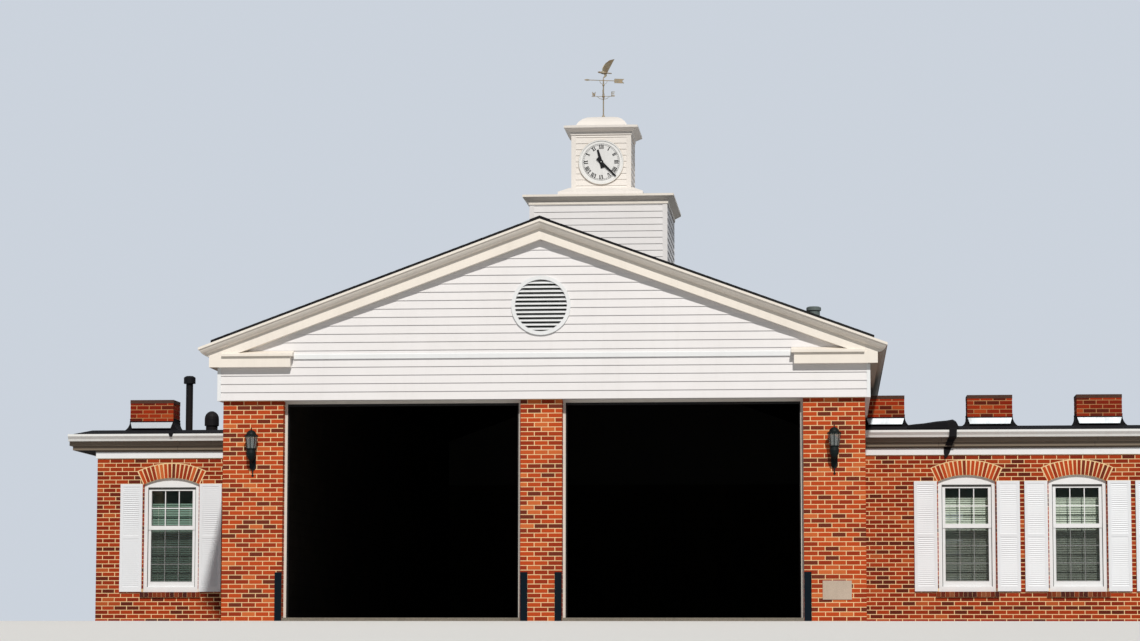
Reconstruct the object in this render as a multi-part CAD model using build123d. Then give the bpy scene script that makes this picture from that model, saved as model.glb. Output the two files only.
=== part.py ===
from build123d import *

import os
from math import asin, cos, pi, sin

os.makedirs("parts", exist_ok=True)

# A single-storey fire station: a gabled engine bay with two door openings, flat-roofed brick wings on
# both sides, and a clock cupola with a weather vane in the middle of the bay's ridge.
# Millimetres. X runs along the front to the right, Y runs in from the front, Z is up from the ground.
# The origin is on the ground in the middle of the engine bay, below the vane's mast.

# Engine bay
door_width = 3535
centre_pier_width = 610
outer_pier_width = 897
bay_depth = 24400
wall_thickness = 300
opening_height = 3253
floor_rise = 50
siding_proud = 60

# Bay roof and cornices: rises from the foot of the eaves' fascia, outward reaches from the brick faces
siding_height = 487
roof_slope = 0.368
roof_thickness = 32
shingle_set_back = 190
fascia_reach = 190
crown_reach = 140
crown_strip = 35
crown_drop = 88
crown_step = 14
crown_foot = 25
rake_fascia = 162
eave_fascia = 160
trough_lip = 18
trough_floor = 12
return_length = 1215
return_cap_reach = 40
return_cap_rise = 92
belt_rise = 122
belt_height = 89
belt_reach = 35

# Round louvred vents in the gables
vent_rise = 893
vent_radius = 440
vent_rim = 55
vent_proud = 40
vent_recess = 130
slat_count = 12
slat_thickness = 8
slat_depth = 70
slat_tilt = 35
vent_sides = 36

# Door surrounds, corner guards, date stone and the flue on the right slope
jamb_width = 60
jamb_depth = 100
jamb_set_back = 150
header_height = 75
guard_width = 105
guard_height = 715
guard_plate = 8
stone_width = 420
stone_height = 275
stone_proud = 15
stone_centre_height = 450
stone_from_edge = 421
roof_flue_radius = 125
roof_flue_from_edge = 757
roof_flue_set_back = 5000
roof_flue_height = 330
roof_flue_cap = 45

# Wall lanterns
lantern_reach = 150
lantern_glass_bottom = 2539
lantern_glass_height = 175
lantern_glass_top_radius = 87
lantern_glass_bottom_radius = 64
lantern_glass_wall = 4
lantern_sides = 8
lantern_rib = 6
lantern_brim_radius = 105
lantern_brim_height = 12
lantern_dome_radius = 76
lantern_dome_height = 85
lantern_finial_radius = 11
lantern_finial_height = 40
lantern_collar_height = 22
lantern_cup_radius = 68
lantern_cup_height = 175
lantern_candle_radius = 13
lantern_candle_height = 105
lantern_plate_width = 96
lantern_plate_top = 30
lantern_plate_height = 290
lantern_plate_thickness = 15
lantern_tail_height = 95
lantern_tail_width = 26
lantern_arm = 16

# Wings
wing_setback = 3906
wing_depth = 9150
window_inset = 1635
window_spacing = 1728
window_end_margin = 1218
right_window_count = 3
left_window_count = 1
end_window_count = 2
wing_wall_height = 2780
wing_slab = 250
wing_cant_rise = 90
wing_cant_run = 300
wing_fascia_reach = 125
wing_end_overhang = 440
wing_board_step = 45
wing_board_thickness = 65
wing_board_height = 70
frieze_height = 130
frieze_thickness = 25
gutter_width = 125
gutter_height = 110
gutter_wall = 6

# Windows with arched heads, sills and shutters
window_width = 905
sill_bottom = 410
sill_height = 79
sill_reach = 30
sill_horn = 40
arch_spring_height = 2227
arch_rise = 103
arch_ring = 232
arch_depth = 110
frame_set_back = 45
frame_depth = 85
casing_width = 61
casing_bottom = 85
casing_top_height = 2181
sash_width = 55
sash_set_back = 12
meeting_rail_bottom = 1496
meeting_rail_height = 65
bottom_rail_height = 91
glass_thickness = 6
shutter_width = 360
shutter_height = 1736
shutter_bottom = 497
shutter_thickness = 38
shutter_gap = 15
shutter_stile = 48
shutter_recess = 12
shutter_rail_height = 1372

# Roof chimneys, flue pipe and vent hood on the wings
chimney_width = 705
near_chimney_width = 600
chimney_depth = 500
chimney_height = 438
chimney_spacing = 1721
chimney_from_bay = 2023
near_chimney_from_bay = 373
chimney_set_back = 215
chimney_cap_height = 56
curb_height = 190
curb_flare = 90
flashing_height = 115
flashing_reach = 45
flashing_rise = 30
flue_radius = 60
flue_height = 1130
flue_cap_radius = 100
flue_cap_height = 130
flue_foot = 40
flue_from_bay = 2008
hood_from_bay = 1613
hood_radius = 122
hood_height = 520
hood_cap_height = 250
roof_item_set_back = 3000

# Cupola, all square in plan and centred on the origin
base_half = 1276
corner_board_width = 87
corner_board_proud = 14
base_rise = 2005
base_eave_reach = 122
base_crown_height = 135
eave_strip = 40
base_roof_rise = 60
plinth_half = 795
plinth_top_half = 600
plinth_height = 178
tower_half = 561
tower_rise = 1166
tower_eave_reach = 132
tower_crown_height = 122
tower_roof_shoulder = 480
tower_roof_shoulder_rise = 44
tower_roof_top_half = 200
tower_roof_rise = 240
tower_roof_crown = 25

# Clock on the tower's front
dial_rise = 487
dial_radius = 426
dial_rim = 28
dial_thickness = 40
dial_recess = 12
arbor_radius = 8
arbor_clearance = 0.4
hand_thickness = 6
hand_gap = 6
hour_hand_length = 240
hour_hand_width = 60
hour_hand_tail = 118
minute_hand_length = 385
minute_hand_width = 48
minute_hand_tail = 100
hour_hand_angle = 344.4
minute_hand_angle = 134.4

# Weather vane: rises are each from the piece below
mast_radius = 12
mast_foot_radius = 32
mast_ball_radius = 26
compass_rise = 405
compass_arm = 145
compass_bar = 9
compass_scroll_drop = 62
hub_rise = 194
hub_ball_radius = 21
hub_ball_height = 44
arrow_rise = 112
arrow_nose = 372
arrow_tail = 404
arrow_shaft = 13
arrow_head_length = 110
arrow_head_height = 34
fletch_length = 196
fletch_height = 84
vane_scroll_radius = 80
vane_bar = 7
vane_plate = 10
vane_angle = 15
vane_pin_radius = 6
vane_pin_length = 70
vane_pin_clearance = 0.4
vane_seat_gap = 1
perch_rise = 54
bird_body_radius = 32
bird_pitch = 94
wing_lean = 16
feather_plate = 5

# Straight chords that a bend of an outline is made of, and sides of turned pieces and of the dial
bend_chords = 4
turned_sides = 24
dial_sides = 60

# Places worked out from the sizes above
bay_half = centre_pier_width / 2 + door_width + outer_pier_width
bay_front = -bay_depth / 2
inner_half = bay_half - wall_thickness
inner_front = bay_front + wall_thickness
band_half = bay_half + siding_proud
fascia_half = bay_half + fascia_reach
roof_half = fascia_half + crown_reach
roof_end = bay_depth / 2 + fascia_reach + crown_reach
shingle_half = roof_half - shingle_set_back
eave_bottom = opening_height + siding_height
eave_fascia_top = eave_bottom + eave_fascia
eave_underside = eave_fascia_top + crown_drop + crown_strip
ridge_height = eave_underside + roof_thickness + roof_slope * roof_half
belt_bottom = eave_bottom + belt_rise
vent_height = eave_bottom + vent_rise
outer_pier_centre = bay_half - outer_pier_width / 2
door_centre = (centre_pier_width + door_width) / 2
wing_front = bay_front + wing_setback
wing_back = wing_front + wing_depth
wing_top = wing_wall_height + wing_slab
wing_roof_top = wing_top + wing_cant_rise
window_top = arch_spring_height + arch_rise
window_bottom = sill_bottom + sill_height
right_wing_width = window_inset + window_spacing * (right_window_count - 1) + window_end_margin
left_wing_width = window_inset + window_spacing * (left_window_count - 1) + window_end_margin
base_eave_height = ridge_height + base_rise
base_roof_top = base_eave_height + base_roof_rise
plinth_top = base_roof_top + plinth_height
tower_eave_height = plinth_top + tower_rise
tower_roof_top = tower_eave_height + tower_roof_rise + tower_roof_crown
dial_height = plinth_top + dial_rise
compass_height = tower_roof_top + compass_rise
hub_bottom = compass_height + hub_rise
arrow_height = hub_bottom + arrow_rise


def under_roof(x):
    """Height of the bay roof's underside at a distance x from the ridge line."""
    return ridge_height - roof_thickness - roof_slope * abs(x)


def block(x0, x1, y0, y1, z0, z1):
    """Rectangular solid between two opposite corners."""
    return Pos((x0 + x1) / 2, (y0 + y1) / 2, (z0 + z1) / 2) * Box(abs(x1 - x0), abs(y1 - y0), abs(z1 - z0))


def face_of(steps):
    """Flat face inside a closed outline: each step is a corner, or the middle and end of a bend to it.

    A bend is made of a few straight chords, so that turned and moulded faces stay light.
    """
    corners = [steps[0]]
    for step in steps[1:]:
        if isinstance(step[0], tuple):
            bend = ThreePointArc(corners[-1], *step)
            corners += [bend @ (i / bend_chords) for i in range(1, bend_chords)] + [step[1]]
        else:
            corners.append(step)
    return make_face(Polyline(*corners, close=corners[-1] != corners[0]))


def placed(outline, at):
    """The same outline with each of its flat points moved into space."""
    return [(at(*step[0]), at(*step[1])) if isinstance(step[0], tuple) else at(*step) for step in outline]


def prism_y(outline, y0, y1):
    """Solid with an outline of (x, z) steps, running from y0 to y1."""
    return extrude(face_of(placed(outline, lambda x, z: (x, y0, z))), amount=y1 - y0, dir=(0, 1, 0))


def prism_x(outline, x0, x1):
    """Solid with an outline of (y, z) steps, running from x0 to x1."""
    return extrude(face_of(placed(outline, lambda y, z: (x0, y, z))), amount=x1 - x0, dir=(1, 0, 0))


def both_sides(shape):
    """A shape of the right half together with its mirror image in the left half."""
    return shape + mirror(shape, about=Plane.YZ)


def both_ends(shape):
    """A shape of the front together with its mirror image at the back."""
    return shape + mirror(shape, about=Plane.XZ)


def square_block(outline, reach):
    """A block of square plan, solid to its axis, with an outline of (reach, z) steps from foot to top."""
    last = outline[-1][1] if isinstance(outline[-1][0], tuple) else outline[-1]
    whole = [(0, outline[0][1])] + outline + ([] if last[0] == 0 else [(0, last[1])])
    across = both_sides(prism_y(whole, -reach, reach))
    along = both_ends(prism_x(whole, -reach, reach))
    return across & along


def save(name, *solids):
    """Writes one sub-part, of one solid or of several that don't touch."""
    parts = [solid for shape in solids for solid in shape.solids()]
    export_step(parts[0] if len(parts) == 1 else Compound(parts), f"parts/{name}.step")


# Engine bay: slab, piers and walls

def floor_slabs():
    """Concrete floors of the bay, out to the door line, and of both wings."""
    bay = block(-inner_half, inner_half, inner_front, -inner_front, 0, floor_rise)
    for side in (-1, 1):
        bay += Pos(side * door_centre, 0, 0) * block(
            -door_width / 2, door_width / 2, bay_front, inner_front, 0, floor_rise)
    slabs = [bay]
    for side, width in ((-1, left_wing_width), (1, right_wing_width)):
        slabs.append(block(side * bay_half, side * (bay_half + width - wall_thickness),
                           wing_front + wall_thickness, wing_back - wall_thickness, 0, floor_rise))
    return slabs


def pier(centre, width):
    return block(centre - width / 2, centre + width / 2, bay_front, inner_front, 0, opening_height)


def side_wall():
    """Brick wall along the right of the bay, its top following the roof."""
    outline = [(inner_half, 0), (bay_half, 0), (bay_half, under_roof(bay_half)),
               (inner_half, under_roof(inner_half))]
    return prism_y(outline, inner_front, -inner_front)


def back_wall():
    return block(-bay_half, bay_half, -inner_front, -bay_front, 0, opening_height)


def gable_wall():
    """Sided wall over the door openings, up to the roof, with the recess of its round vent."""
    half = [(band_half, opening_height), (band_half, eave_bottom), (bay_half, eave_bottom),
            (bay_half, under_roof(bay_half))]
    outline = half + [(0, under_roof(0))] + [(-x, z) for x, z in reversed(half)]
    wall = prism_y(outline, bay_front - siding_proud, inner_front)
    return wall - vent_disc(vent_radius - vent_rim, vent_proud + vent_recess)


def side_band():
    """Lap-sided band between the brick and the eave cornice."""
    return block(bay_half, band_half, inner_front, -inner_front, opening_height, eave_bottom)


def roof_slope_slab():
    outline = [(0, ridge_height), (shingle_half, ridge_height - roof_slope * shingle_half),
               (shingle_half, under_roof(shingle_half)), (0, under_roof(0))]
    return prism_y(outline, -roof_end, roof_end)


# Cornices

def crown_steps(underside):
    """Crown moulding's outline from the fascia's top out to the roof's edge: reach from the fascia, height."""
    foot, tip = crown_foot, crown_reach - crown_step
    low, high = underside - crown_strip - crown_drop, underside - crown_strip
    bulge = (tip - 0.4 * (tip - foot), high - 0.65 * (high - low))
    return [(0, low), (foot, low), (bulge, (tip, high)), (crown_reach, high), (crown_reach, underside)]


def eave_outline():
    """Fascia and crown of the right eave, in (x, z), from the fascia's foot to the roof's edge."""
    crown = placed(crown_steps(eave_underside), lambda reach, z: (fascia_half + reach, z))
    return [(fascia_half, eave_bottom)] + crown


def eave_cornice():
    """Fascia and crown along the right eave, with the returns on both gables."""
    outline = eave_outline()
    run = prism_y([(bay_half, eave_bottom), outline[0], outline[1], (bay_half, eave_fascia_top)],
                  bay_front, -bay_front)
    crown = prism_y([(bay_half, eave_fascia_top)] + outline[1:] + [(bay_half, under_roof(bay_half))],
                    bay_front - fascia_reach, fascia_reach - bay_front)
    turn_in = fascia_half - return_length
    face = bay_front - siding_proud
    front = block(turn_in, fascia_half, bay_front - fascia_reach, face, eave_bottom, eave_fascia_top)
    front += block(bay_half, fascia_half, face, bay_front, eave_bottom, eave_fascia_top)
    cap_front = bay_front - fascia_reach - return_cap_reach
    cap_outline = [(face, eave_fascia_top), (cap_front, eave_fascia_top),
                   (cap_front, eave_fascia_top + crown_strip), (face, eave_fascia_top + return_cap_rise)]
    front += prism_x(cap_outline, turn_in - return_cap_reach, bay_half)
    return run + crown + both_ends(front)


def eave_trough():
    """What the rain gutter takes out of the crown, from the shingles' edge to a thin lip."""
    return block(shingle_half, roof_half - trough_lip, bay_front - fascia_reach, fascia_reach - bay_front,
                 eave_underside - crown_strip + trough_floor, ridge_height)


def rake_cornice(cut):
    """Fascia and crown up the front gable's slopes, fitted over the returns and mitred at the eaves."""
    face = bay_front - siding_proud
    fascia = bay_front - fascia_reach
    top = under_roof(0)
    board_top = top - crown_strip - crown_drop
    crown = placed(crown_steps(top), lambda reach, z: (0, fascia - reach, z))
    crown = face_of([(0, face, board_top)] + crown + [(0, face, top)])
    board = face_of([(0, face, board_top), (0, fascia, board_top), (0, fascia, board_top - rake_fascia),
                     (0, face, board_top - rake_fascia)])
    slope = Vector(1, 0, -roof_slope)
    stretch = slope.length
    half = extrude(crown, amount=roof_half * stretch, dir=slope)
    half += extrude(board, amount=fascia_half * stretch, dir=slope)
    within = prism_y([(0, eave_bottom)] + eave_outline() + [(0, top)], -roof_end, face)
    return both_sides(((half & within) - cut).solids().sort_by(SortBy.VOLUME)[-1])


def belt_moulding():
    """Thin sloped ledge across the gable between the cornice returns."""
    face = bay_front - siding_proud
    outline = [(face, belt_bottom), (face - belt_reach, belt_bottom),
               (face - belt_reach, belt_bottom + belt_height * 0.7), (face, belt_bottom + belt_height)]
    reach = fascia_half - return_length - return_cap_reach
    return prism_x(outline, -reach, reach)


def gable_vent():
    """Round louvre: a proud rim and slats let into the wall, its circles many-sided so that slats end flat."""
    face = bay_front - siding_proud
    opening = vent_disc(vent_radius - vent_rim, vent_proud + vent_recess)
    rim = vent_disc(vent_radius, vent_proud)
    pitch = 2 * (vent_radius - vent_rim) / (slat_count + 0.4)
    slat = Rot(slat_tilt, 0, 0) * Box(2 * vent_radius, slat_depth, slat_thickness)
    slats = [Pos(0, face - vent_proud / 4, vent_height + (i - (slat_count - 1) / 2) * pitch) * slat
             for i in range(slat_count)]
    return (rim - opening) + (Compound(slats) & opening)


def vent_disc(radius, thickness):
    """Many-sided disc about the vent's centre, from the rim's front backwards."""
    disc = extrude(RegularPolygon(radius, vent_sides), amount=thickness)
    return Pos(0, bay_front - siding_proud - vent_proud, vent_height) * Rot(-90, 0, 0) * disc


# Door surrounds and what is fixed to the front

def door_frame(centre):
    """Painted lining inside a door opening, standing on the slab."""
    y0 = bay_front + jamb_set_back
    frame = block(-door_width / 2, door_width / 2, y0, y0 + jamb_depth, floor_rise, opening_height)
    hole = block(-door_width / 2 + jamb_width, door_width / 2 - jamb_width, y0, y0 + jamb_depth,
                 floor_rise, opening_height - header_height)
    return Pos(centre, 0, 0) * (frame - hole)


def corner_guard(corner, into_pier):
    """Steel plate at a pier's corner; into_pier is +1 where the pier lies to the right."""
    return block(corner, corner + into_pier * guard_width, bay_front - guard_plate, bay_front, 0, guard_height)


def date_stone():
    middle = bay_half - stone_from_edge
    return block(middle - stone_width / 2, middle + stone_width / 2, bay_front - stone_proud, bay_front,
                 stone_centre_height - stone_height / 2, stone_centre_height + stone_height / 2)


def turned(outline):
    """Many-sided solid about Z, from (radius, z) steps that start and end on the axis."""
    reach = 2 * max(step[0] for step in outline if not isinstance(step[0], tuple))
    slab = both_sides(prism_y(outline, -reach, reach))
    shape = slab
    for i in range(1, turned_sides // 2):
        shape &= Rot(0, 0, 360 / turned_sides * i) * slab
    return shape


def tapered_pane(grow):
    """Eight-sided tapered block of the lantern's glass, grown outwards by grow."""
    to_corner = 1 / cos(pi / lantern_sides)
    low = RegularPolygon((lantern_glass_bottom_radius + grow) * to_corner, lantern_sides)
    high = RegularPolygon((lantern_glass_top_radius + grow) * to_corner, lantern_sides)
    return loft([Pos(0, 0, lantern_glass_bottom) * low,
                 Pos(0, 0, lantern_glass_bottom + lantern_glass_height) * high])


def lantern_pane():
    return tapered_pane(0) - tapered_pane(-lantern_glass_wall)


def lantern_ribs():
    """Thin bars up the corners of the glass, from the cup to the cap."""
    frame = tapered_pane(lantern_rib / 2) - tapered_pane(0)
    bar = Box(4 * lantern_glass_top_radius, 2 * lantern_rib, 4 * lantern_glass_height)
    middle = lantern_glass_bottom + lantern_glass_height / 2
    pairs = [frame & (Pos(0, 0, middle) * Rot(0, 0, 360 / lantern_sides * i) * bar)
             for i in range(lantern_sides // 2)]
    return [rib for pair in pairs for rib in pair.solids()]


def lantern_metal():
    """Cap, ribs, cup with its candle, arms and wall plate of a lantern, about its own axis."""
    low = lantern_glass_bottom
    high = low + lantern_glass_height
    dome_top = high + lantern_brim_height + lantern_dome_height
    bend = (0.72 * lantern_dome_radius, dome_top - 0.3 * lantern_dome_height)
    tip = dome_top + lantern_finial_height
    cap = turned([(0, high), (lantern_brim_radius, high), (lantern_brim_radius, high + lantern_brim_height),
                  (lantern_dome_radius, high + 2.4 * lantern_brim_height),
                  (bend, (lantern_finial_radius / 2, dome_top)),
                  (lantern_finial_radius, dome_top + lantern_finial_height / 2), (0, tip)])
    rim = lantern_glass_bottom_radius + lantern_rib
    cup_top = low - lantern_collar_height
    cup_foot = cup_top - lantern_cup_height
    belly = (lantern_cup_radius, cup_top - 0.4 * lantern_cup_height)
    cup = turned([(0, low + lantern_candle_height), (lantern_candle_radius, low + lantern_candle_height),
                  (lantern_candle_radius, low), (rim, low), (rim, cup_top + lantern_collar_height / 3),
                  (lantern_cup_radius * 0.9, cup_top), (belly, (lantern_arm / 2, cup_foot)), (0, cup_foot)])
    metal = cap + cup + lantern_bracket(cup_foot)
    for rib in lantern_ribs():
        metal += rib
    return metal


def lantern_bracket(cup_foot):
    """Wall plate with a pointed tail, and two scrolled arms out to the cup."""
    back = lantern_reach
    front = back - lantern_plate_thickness
    top = lantern_glass_bottom - lantern_plate_top
    foot = top - lantern_plate_height
    half = lantern_plate_width / 2
    tail = lantern_tail_width / 2
    plate = prism_y([(-half, foot + half), ((0, foot), (half, foot + half)), (half, top - half),
                     ((0, top), (-half, top - half))], front, back)
    plate += prism_y([(-tail, foot + tail), (tail, foot + tail), (tail / 2, foot - 0.6 * lantern_tail_height),
                      ((0, foot - lantern_tail_height), (-tail / 2, foot - 0.6 * lantern_tail_height))],
                     front, back)
    w = lantern_arm / 2
    middle = (front + w) / 2
    arms = [prism_x([(0, cup_foot), ((middle, cup_foot - 3 * w), (front, cup_foot + w)),
                     (front, cup_foot + 3 * w), ((middle, cup_foot - w), (0, cup_foot + 2 * w))], -w, w),
            prism_x([(0, top - 5 * w), ((middle, top - 2 * w), (front, top - 5 * w)), (front, top - 7 * w),
                     ((middle, top - 4 * w), (0, top - 7 * w))], -w, w)]
    return plate + arms[0] + arms[1]


def lantern_places():
    return [Pos(side * outer_pier_centre, bay_front - lantern_reach, 0) for side in (-1, 1)]


def roof_flue():
    """Short round flue with a flat cap on the right slope."""
    x, y = bay_half - roof_flue_from_edge, bay_front + roof_flue_set_back
    top = ridge_height - roof_slope * x + roof_flue_height
    cap_bottom = top - roof_flue_cap
    r, foot = roof_flue_radius, -2 * roof_flue_height
    flue = turned([(0, foot), (0.8 * r, foot), (0.8 * r, 0), (r, 0), (r, roof_flue_cap), (0, roof_flue_cap)])
    above = prism_y([(0, ridge_height), (roof_half, ridge_height - roof_slope * roof_half),
                     (roof_half, 2 * ridge_height), (0, 2 * ridge_height)], -roof_end, roof_end)
    return Pos(x, y, cap_bottom) * flue & above


# Wings

def wing_span(side):
    """Width of a wing, from the bay's brick face to its own end."""
    return right_wing_width if side > 0 else left_wing_width


def window_places(side):
    """Front and back windows of a wing, as distances from the bay's axis."""
    count = right_window_count if side > 0 else left_window_count
    return [side * (bay_half + window_inset + i * window_spacing) for i in range(count)]


def end_window_places():
    """Windows in a wing's end wall, as distances from the bay's middle line."""
    middle = (wing_front + wing_back) / 2
    step = wing_depth / (end_window_count + 1)
    return [middle + (i - (end_window_count - 1) / 2) * step for i in range(end_window_count)]


def wall_stations():
    """Every window's place: a location whose -Y direction points out of the wall."""
    stations = []
    for side in (-1, 1):
        end = bay_half + wing_span(side)
        for x in window_places(side):
            stations.append(("front", side, Pos(x, wing_front, 0)))
            stations.append(("back", side, Pos(x, wing_back, 0) * Rot(0, 0, 180)))
        for y in end_window_places():
            stations.append(("end", side, Pos(side * end, y, 0) * Rot(0, 0, side * 90)))
    return stations


arch_half = window_width / 2
arch_radius = (arch_half ** 2 + arch_rise ** 2) / (2 * arch_rise)
arch_centre = window_top - arch_radius
arch_angle = asin(arch_half / arch_radius)


def arch_points(radius, shares):
    """Points (x, z) on a circle about the arch's centre, at shares of the way to its skewbacks."""
    return [(radius * sin(arch_angle * share), arch_centre + radius * cos(arch_angle * share)) for share in shares]


def arched_block(y0, y1):
    """Block of the window opening's outline: straight jambs and sill under a segmental head."""
    left, high_left, crown, high_right, right = arch_points(arch_radius, (-1, -0.5, 0, 0.5, 1))
    return prism_y([(-arch_half, window_bottom), left, (high_left, crown), (high_right, right),
                    (arch_half, window_bottom)], y0, y1)


def arch_ring_block():
    """Brick-on-end arch over a window, between its two radii and skewbacks."""
    left, high_left, crown, high_right, right = arch_points(arch_radius, (-1, -0.5, 0, 0.5, 1))
    end, back, top, ahead, start = arch_points(arch_radius + arch_ring, (-1, -0.5, 0, 0.5, 1))
    return prism_y([left, (high_left, crown), (high_right, right), start, (ahead, top), (back, end)],
                   0, arch_depth)


def sill_block(reach):
    half = window_width / 2 + sill_horn
    return block(-half, half, -reach, arch_depth, sill_bottom, window_bottom)


def window_cut():
    """What a window takes out of its wall: the opening and the pockets of arch and sill."""
    return arched_block(0, wall_thickness) + arch_ring_block() + sill_block(0)


def sash_opening():
    """Width and heights of the two glass openings inside the sashes."""
    half = window_width / 2 - casing_width - sash_width
    bottom = window_bottom + casing_bottom + bottom_rail_height
    top = casing_top_height - sash_width
    return half, bottom, top


def window_frame():
    """Arched casing with a pair of sashes, meeting at a rail."""
    y0, y1 = frame_set_back, frame_set_back + frame_depth
    half, bottom, top = sash_opening()
    frame = arched_block(y0, y1)
    step = window_width / 2 - casing_width
    frame -= block(-step, step, y0, y0 + sash_set_back, window_bottom + casing_bottom, casing_top_height)
    frame -= block(-half, half, y0, y1, bottom, meeting_rail_bottom)
    frame -= block(-half, half, y0, y1, meeting_rail_bottom + meeting_rail_height, top)
    frame -= block(-step, step, y0, y0 + 2 * sash_set_back, window_bottom + casing_bottom, meeting_rail_bottom)
    return frame


def window_panes():
    half, bottom, top = sash_opening()
    y0 = frame_set_back + frame_depth / 2
    y1 = y0 + glass_thickness
    return [block(-half, half, y0, y1, bottom, meeting_rail_bottom),
            block(-half, half, y0, y1, meeting_rail_bottom + meeting_rail_height, top)]


def shutter(side):
    """Shutter beside a window, with two sunk louvre fields."""
    inner = side * (window_width / 2 + shutter_gap)
    outer = inner + side * shutter_width
    top = shutter_bottom + shutter_height
    leaf = block(inner, outer, -shutter_thickness, 0, shutter_bottom, top)
    rail = shutter_stile / 2
    for low, high in ((shutter_bottom + 1.6 * shutter_stile, shutter_rail_height - rail),
                      (shutter_rail_height + rail, top - shutter_stile)):
        leaf -= block(inner + side * shutter_stile, outer - side * shutter_stile,
                      -shutter_thickness, -shutter_thickness + shutter_recess, low, high)
    return leaf


def wing_walls(side):
    """Front, back and end walls of a wing, with the windows cut through."""
    end = side * (bay_half + wing_span(side))
    inner_end = end - side * wall_thickness
    near = side * bay_half
    walls = {
        "front": block(near, end, wing_front, wing_front + wall_thickness, 0, wing_wall_height),
        "back": block(near, end, wing_back - wall_thickness, wing_back, 0, wing_wall_height),
        "end": block(inner_end, end, wing_front + wall_thickness, wing_back - wall_thickness, 0,
                     wing_wall_height),
    }
    for name, at_side, place in wall_stations():
        if at_side == side:
            walls[name] -= place * window_cut()
    return walls


def wing_box(side, eave, end, z0, z1):
    """Block over a wing, reaching past its front and back by eave and past its end by end."""
    return block(side * bay_half, side * (bay_half + wing_span(side) + end),
                 wing_front - eave, wing_back + eave, z0, z1)


def wing_roof(side):
    """Roof slab with a sloped membrane edge round a nearly level top."""
    eave = wing_fascia_reach - wing_board_thickness
    end = wing_end_overhang - wing_board_thickness
    slab = wing_box(side, eave, end, wing_wall_height, wing_top)
    near, far = side * bay_half, side * (bay_half + wing_span(side) + wing_end_overhang)
    inset = wing_cant_run
    low = Rectangle(abs(far - near), wing_depth + 2 * wing_fascia_reach)
    high = Rectangle(abs(far - near) - inset, wing_depth + 2 * wing_fascia_reach - 2 * inset)
    y = (wing_front + wing_back) / 2
    top = loft([Pos((near + far) / 2, y, wing_top) * low,
                Pos((near + far - side * inset) / 2, y, wing_roof_top) * high])
    return slab + top


def wing_cornice(side):
    """Frieze on the brick and two stepped boards round the roof's edge."""
    thickness = wing_board_thickness
    low = wing_wall_height
    frieze = wing_box(side, frieze_thickness, frieze_thickness, low - frieze_height, low)
    frieze -= wing_box(side, 0, 0, low - frieze_height, low)
    step = wing_board_step
    inner = wing_box(side, wing_fascia_reach - thickness, wing_end_overhang - thickness, low, wing_top)
    board = wing_box(side, wing_fascia_reach - step, wing_end_overhang - step, low, low + wing_board_height)
    fascia = wing_box(side, wing_fascia_reach, wing_end_overhang, low + wing_board_height, wing_top)
    return [frieze, (board + fascia) - inner]


def gutter(side):
    """Open channel along a wing's front eave, with an ogee-like face and closed ends."""
    back = wing_front - wing_fascia_reach
    low, high = wing_top - gutter_height, wing_top
    w, h = gutter_width, gutter_height
    outer = [(back, low), (back - 0.62 * w, low), (back - 0.72 * w, low + 0.3 * h),
             (back - 0.95 * w, low + 0.62 * h), (back - w, low + 0.7 * h), (back - w, high), (back, high)]
    t = gutter_wall
    inner = [(back - t, low + t), (back - 0.62 * w + t, low + t), (back - 0.72 * w + t, low + 0.3 * h + t),
             (back - 0.95 * w + t, low + 0.62 * h + t), (back - w + t, low + 0.7 * h + t),
             (back - w + t, high), (back - t, high)]
    near, far = side * bay_half, side * (bay_half + wing_span(side) + wing_end_overhang)
    channel = prism_x(outer, near, far)
    channel -= prism_x(inner, near + side * t, far - side * t)
    return channel


# Things that stand on the roofs of the wings

def chimney_places():
    """Middles and widths of the stacks: a narrow one beside the bay, two more and one over the left wing."""
    y = wing_front + chimney_set_back + chimney_depth / 2
    first = bay_half + chimney_from_bay
    spots = [(bay_half + near_chimney_from_bay, near_chimney_width), (first, chimney_width),
             (first + chimney_spacing, chimney_width), (-first, chimney_width)]
    return [(Pos(x, y, wing_roof_top), width) for x, width in spots]


def chimney(width):
    return block(-width / 2, width / 2, -chimney_depth / 2, chimney_depth / 2, 0, chimney_height)


def chimney_cap(width):
    w, d = width / 2 + 5, chimney_depth / 2 + 5
    return block(-w, w, -d, d, chimney_height, chimney_height + chimney_cap_height)


def chimney_curb(width):
    """Membrane swept up in a hollow curve against the free sides of a stack."""
    half, out = width / 2, width / 2 + curb_flare
    foot, lip = (out, -chimney_depth / 2, 0), (half + 12, -chimney_depth / 2, curb_height)
    bend = (half + 12 + 0.25 * curb_flare, -chimney_depth / 2, 0.3 * curb_height)
    edges = [ThreePointArc(lip, bend, foot),
             Polyline(foot, (half, -chimney_depth / 2, 0), (half, -chimney_depth / 2, curb_height), lip)]
    flare = extrude(make_face(edges), amount=chimney_depth, dir=(0, 1, 0))
    return both_sides(flare) if width == chimney_width else flare


def chimney_flashing(width):
    """Sheet metal apron on the front of a stack, splayed at its foot."""
    face = -chimney_depth / 2
    top = flashing_rise + flashing_height
    side = prism_x([(face, flashing_rise), (face - flashing_reach, flashing_rise),
                    (face - flashing_reach, flashing_rise + 4), (face - 4, top), (face, top)],
                   -width / 2, width / 2)
    half = width / 2
    front = prism_y([(-half + 35, flashing_rise), (half - 35, flashing_rise), (half, top), (-half, top)],
                    face - flashing_reach, face)
    return side & front


def flue_pipe():
    """Tall pipe in a sloped flashing, with a wider cap."""
    r, h, foot = flue_radius, flue_height, flue_foot
    cap_r, cap_bottom = flue_cap_radius, flue_height - flue_cap_height
    return turned([(0, 0), (r + foot, 0), (r, 1.5 * foot), (r, cap_bottom), (cap_r, cap_bottom),
                   (cap_r, cap_bottom + 0.8 * flue_cap_height), (r, h), (0, h)])


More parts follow.
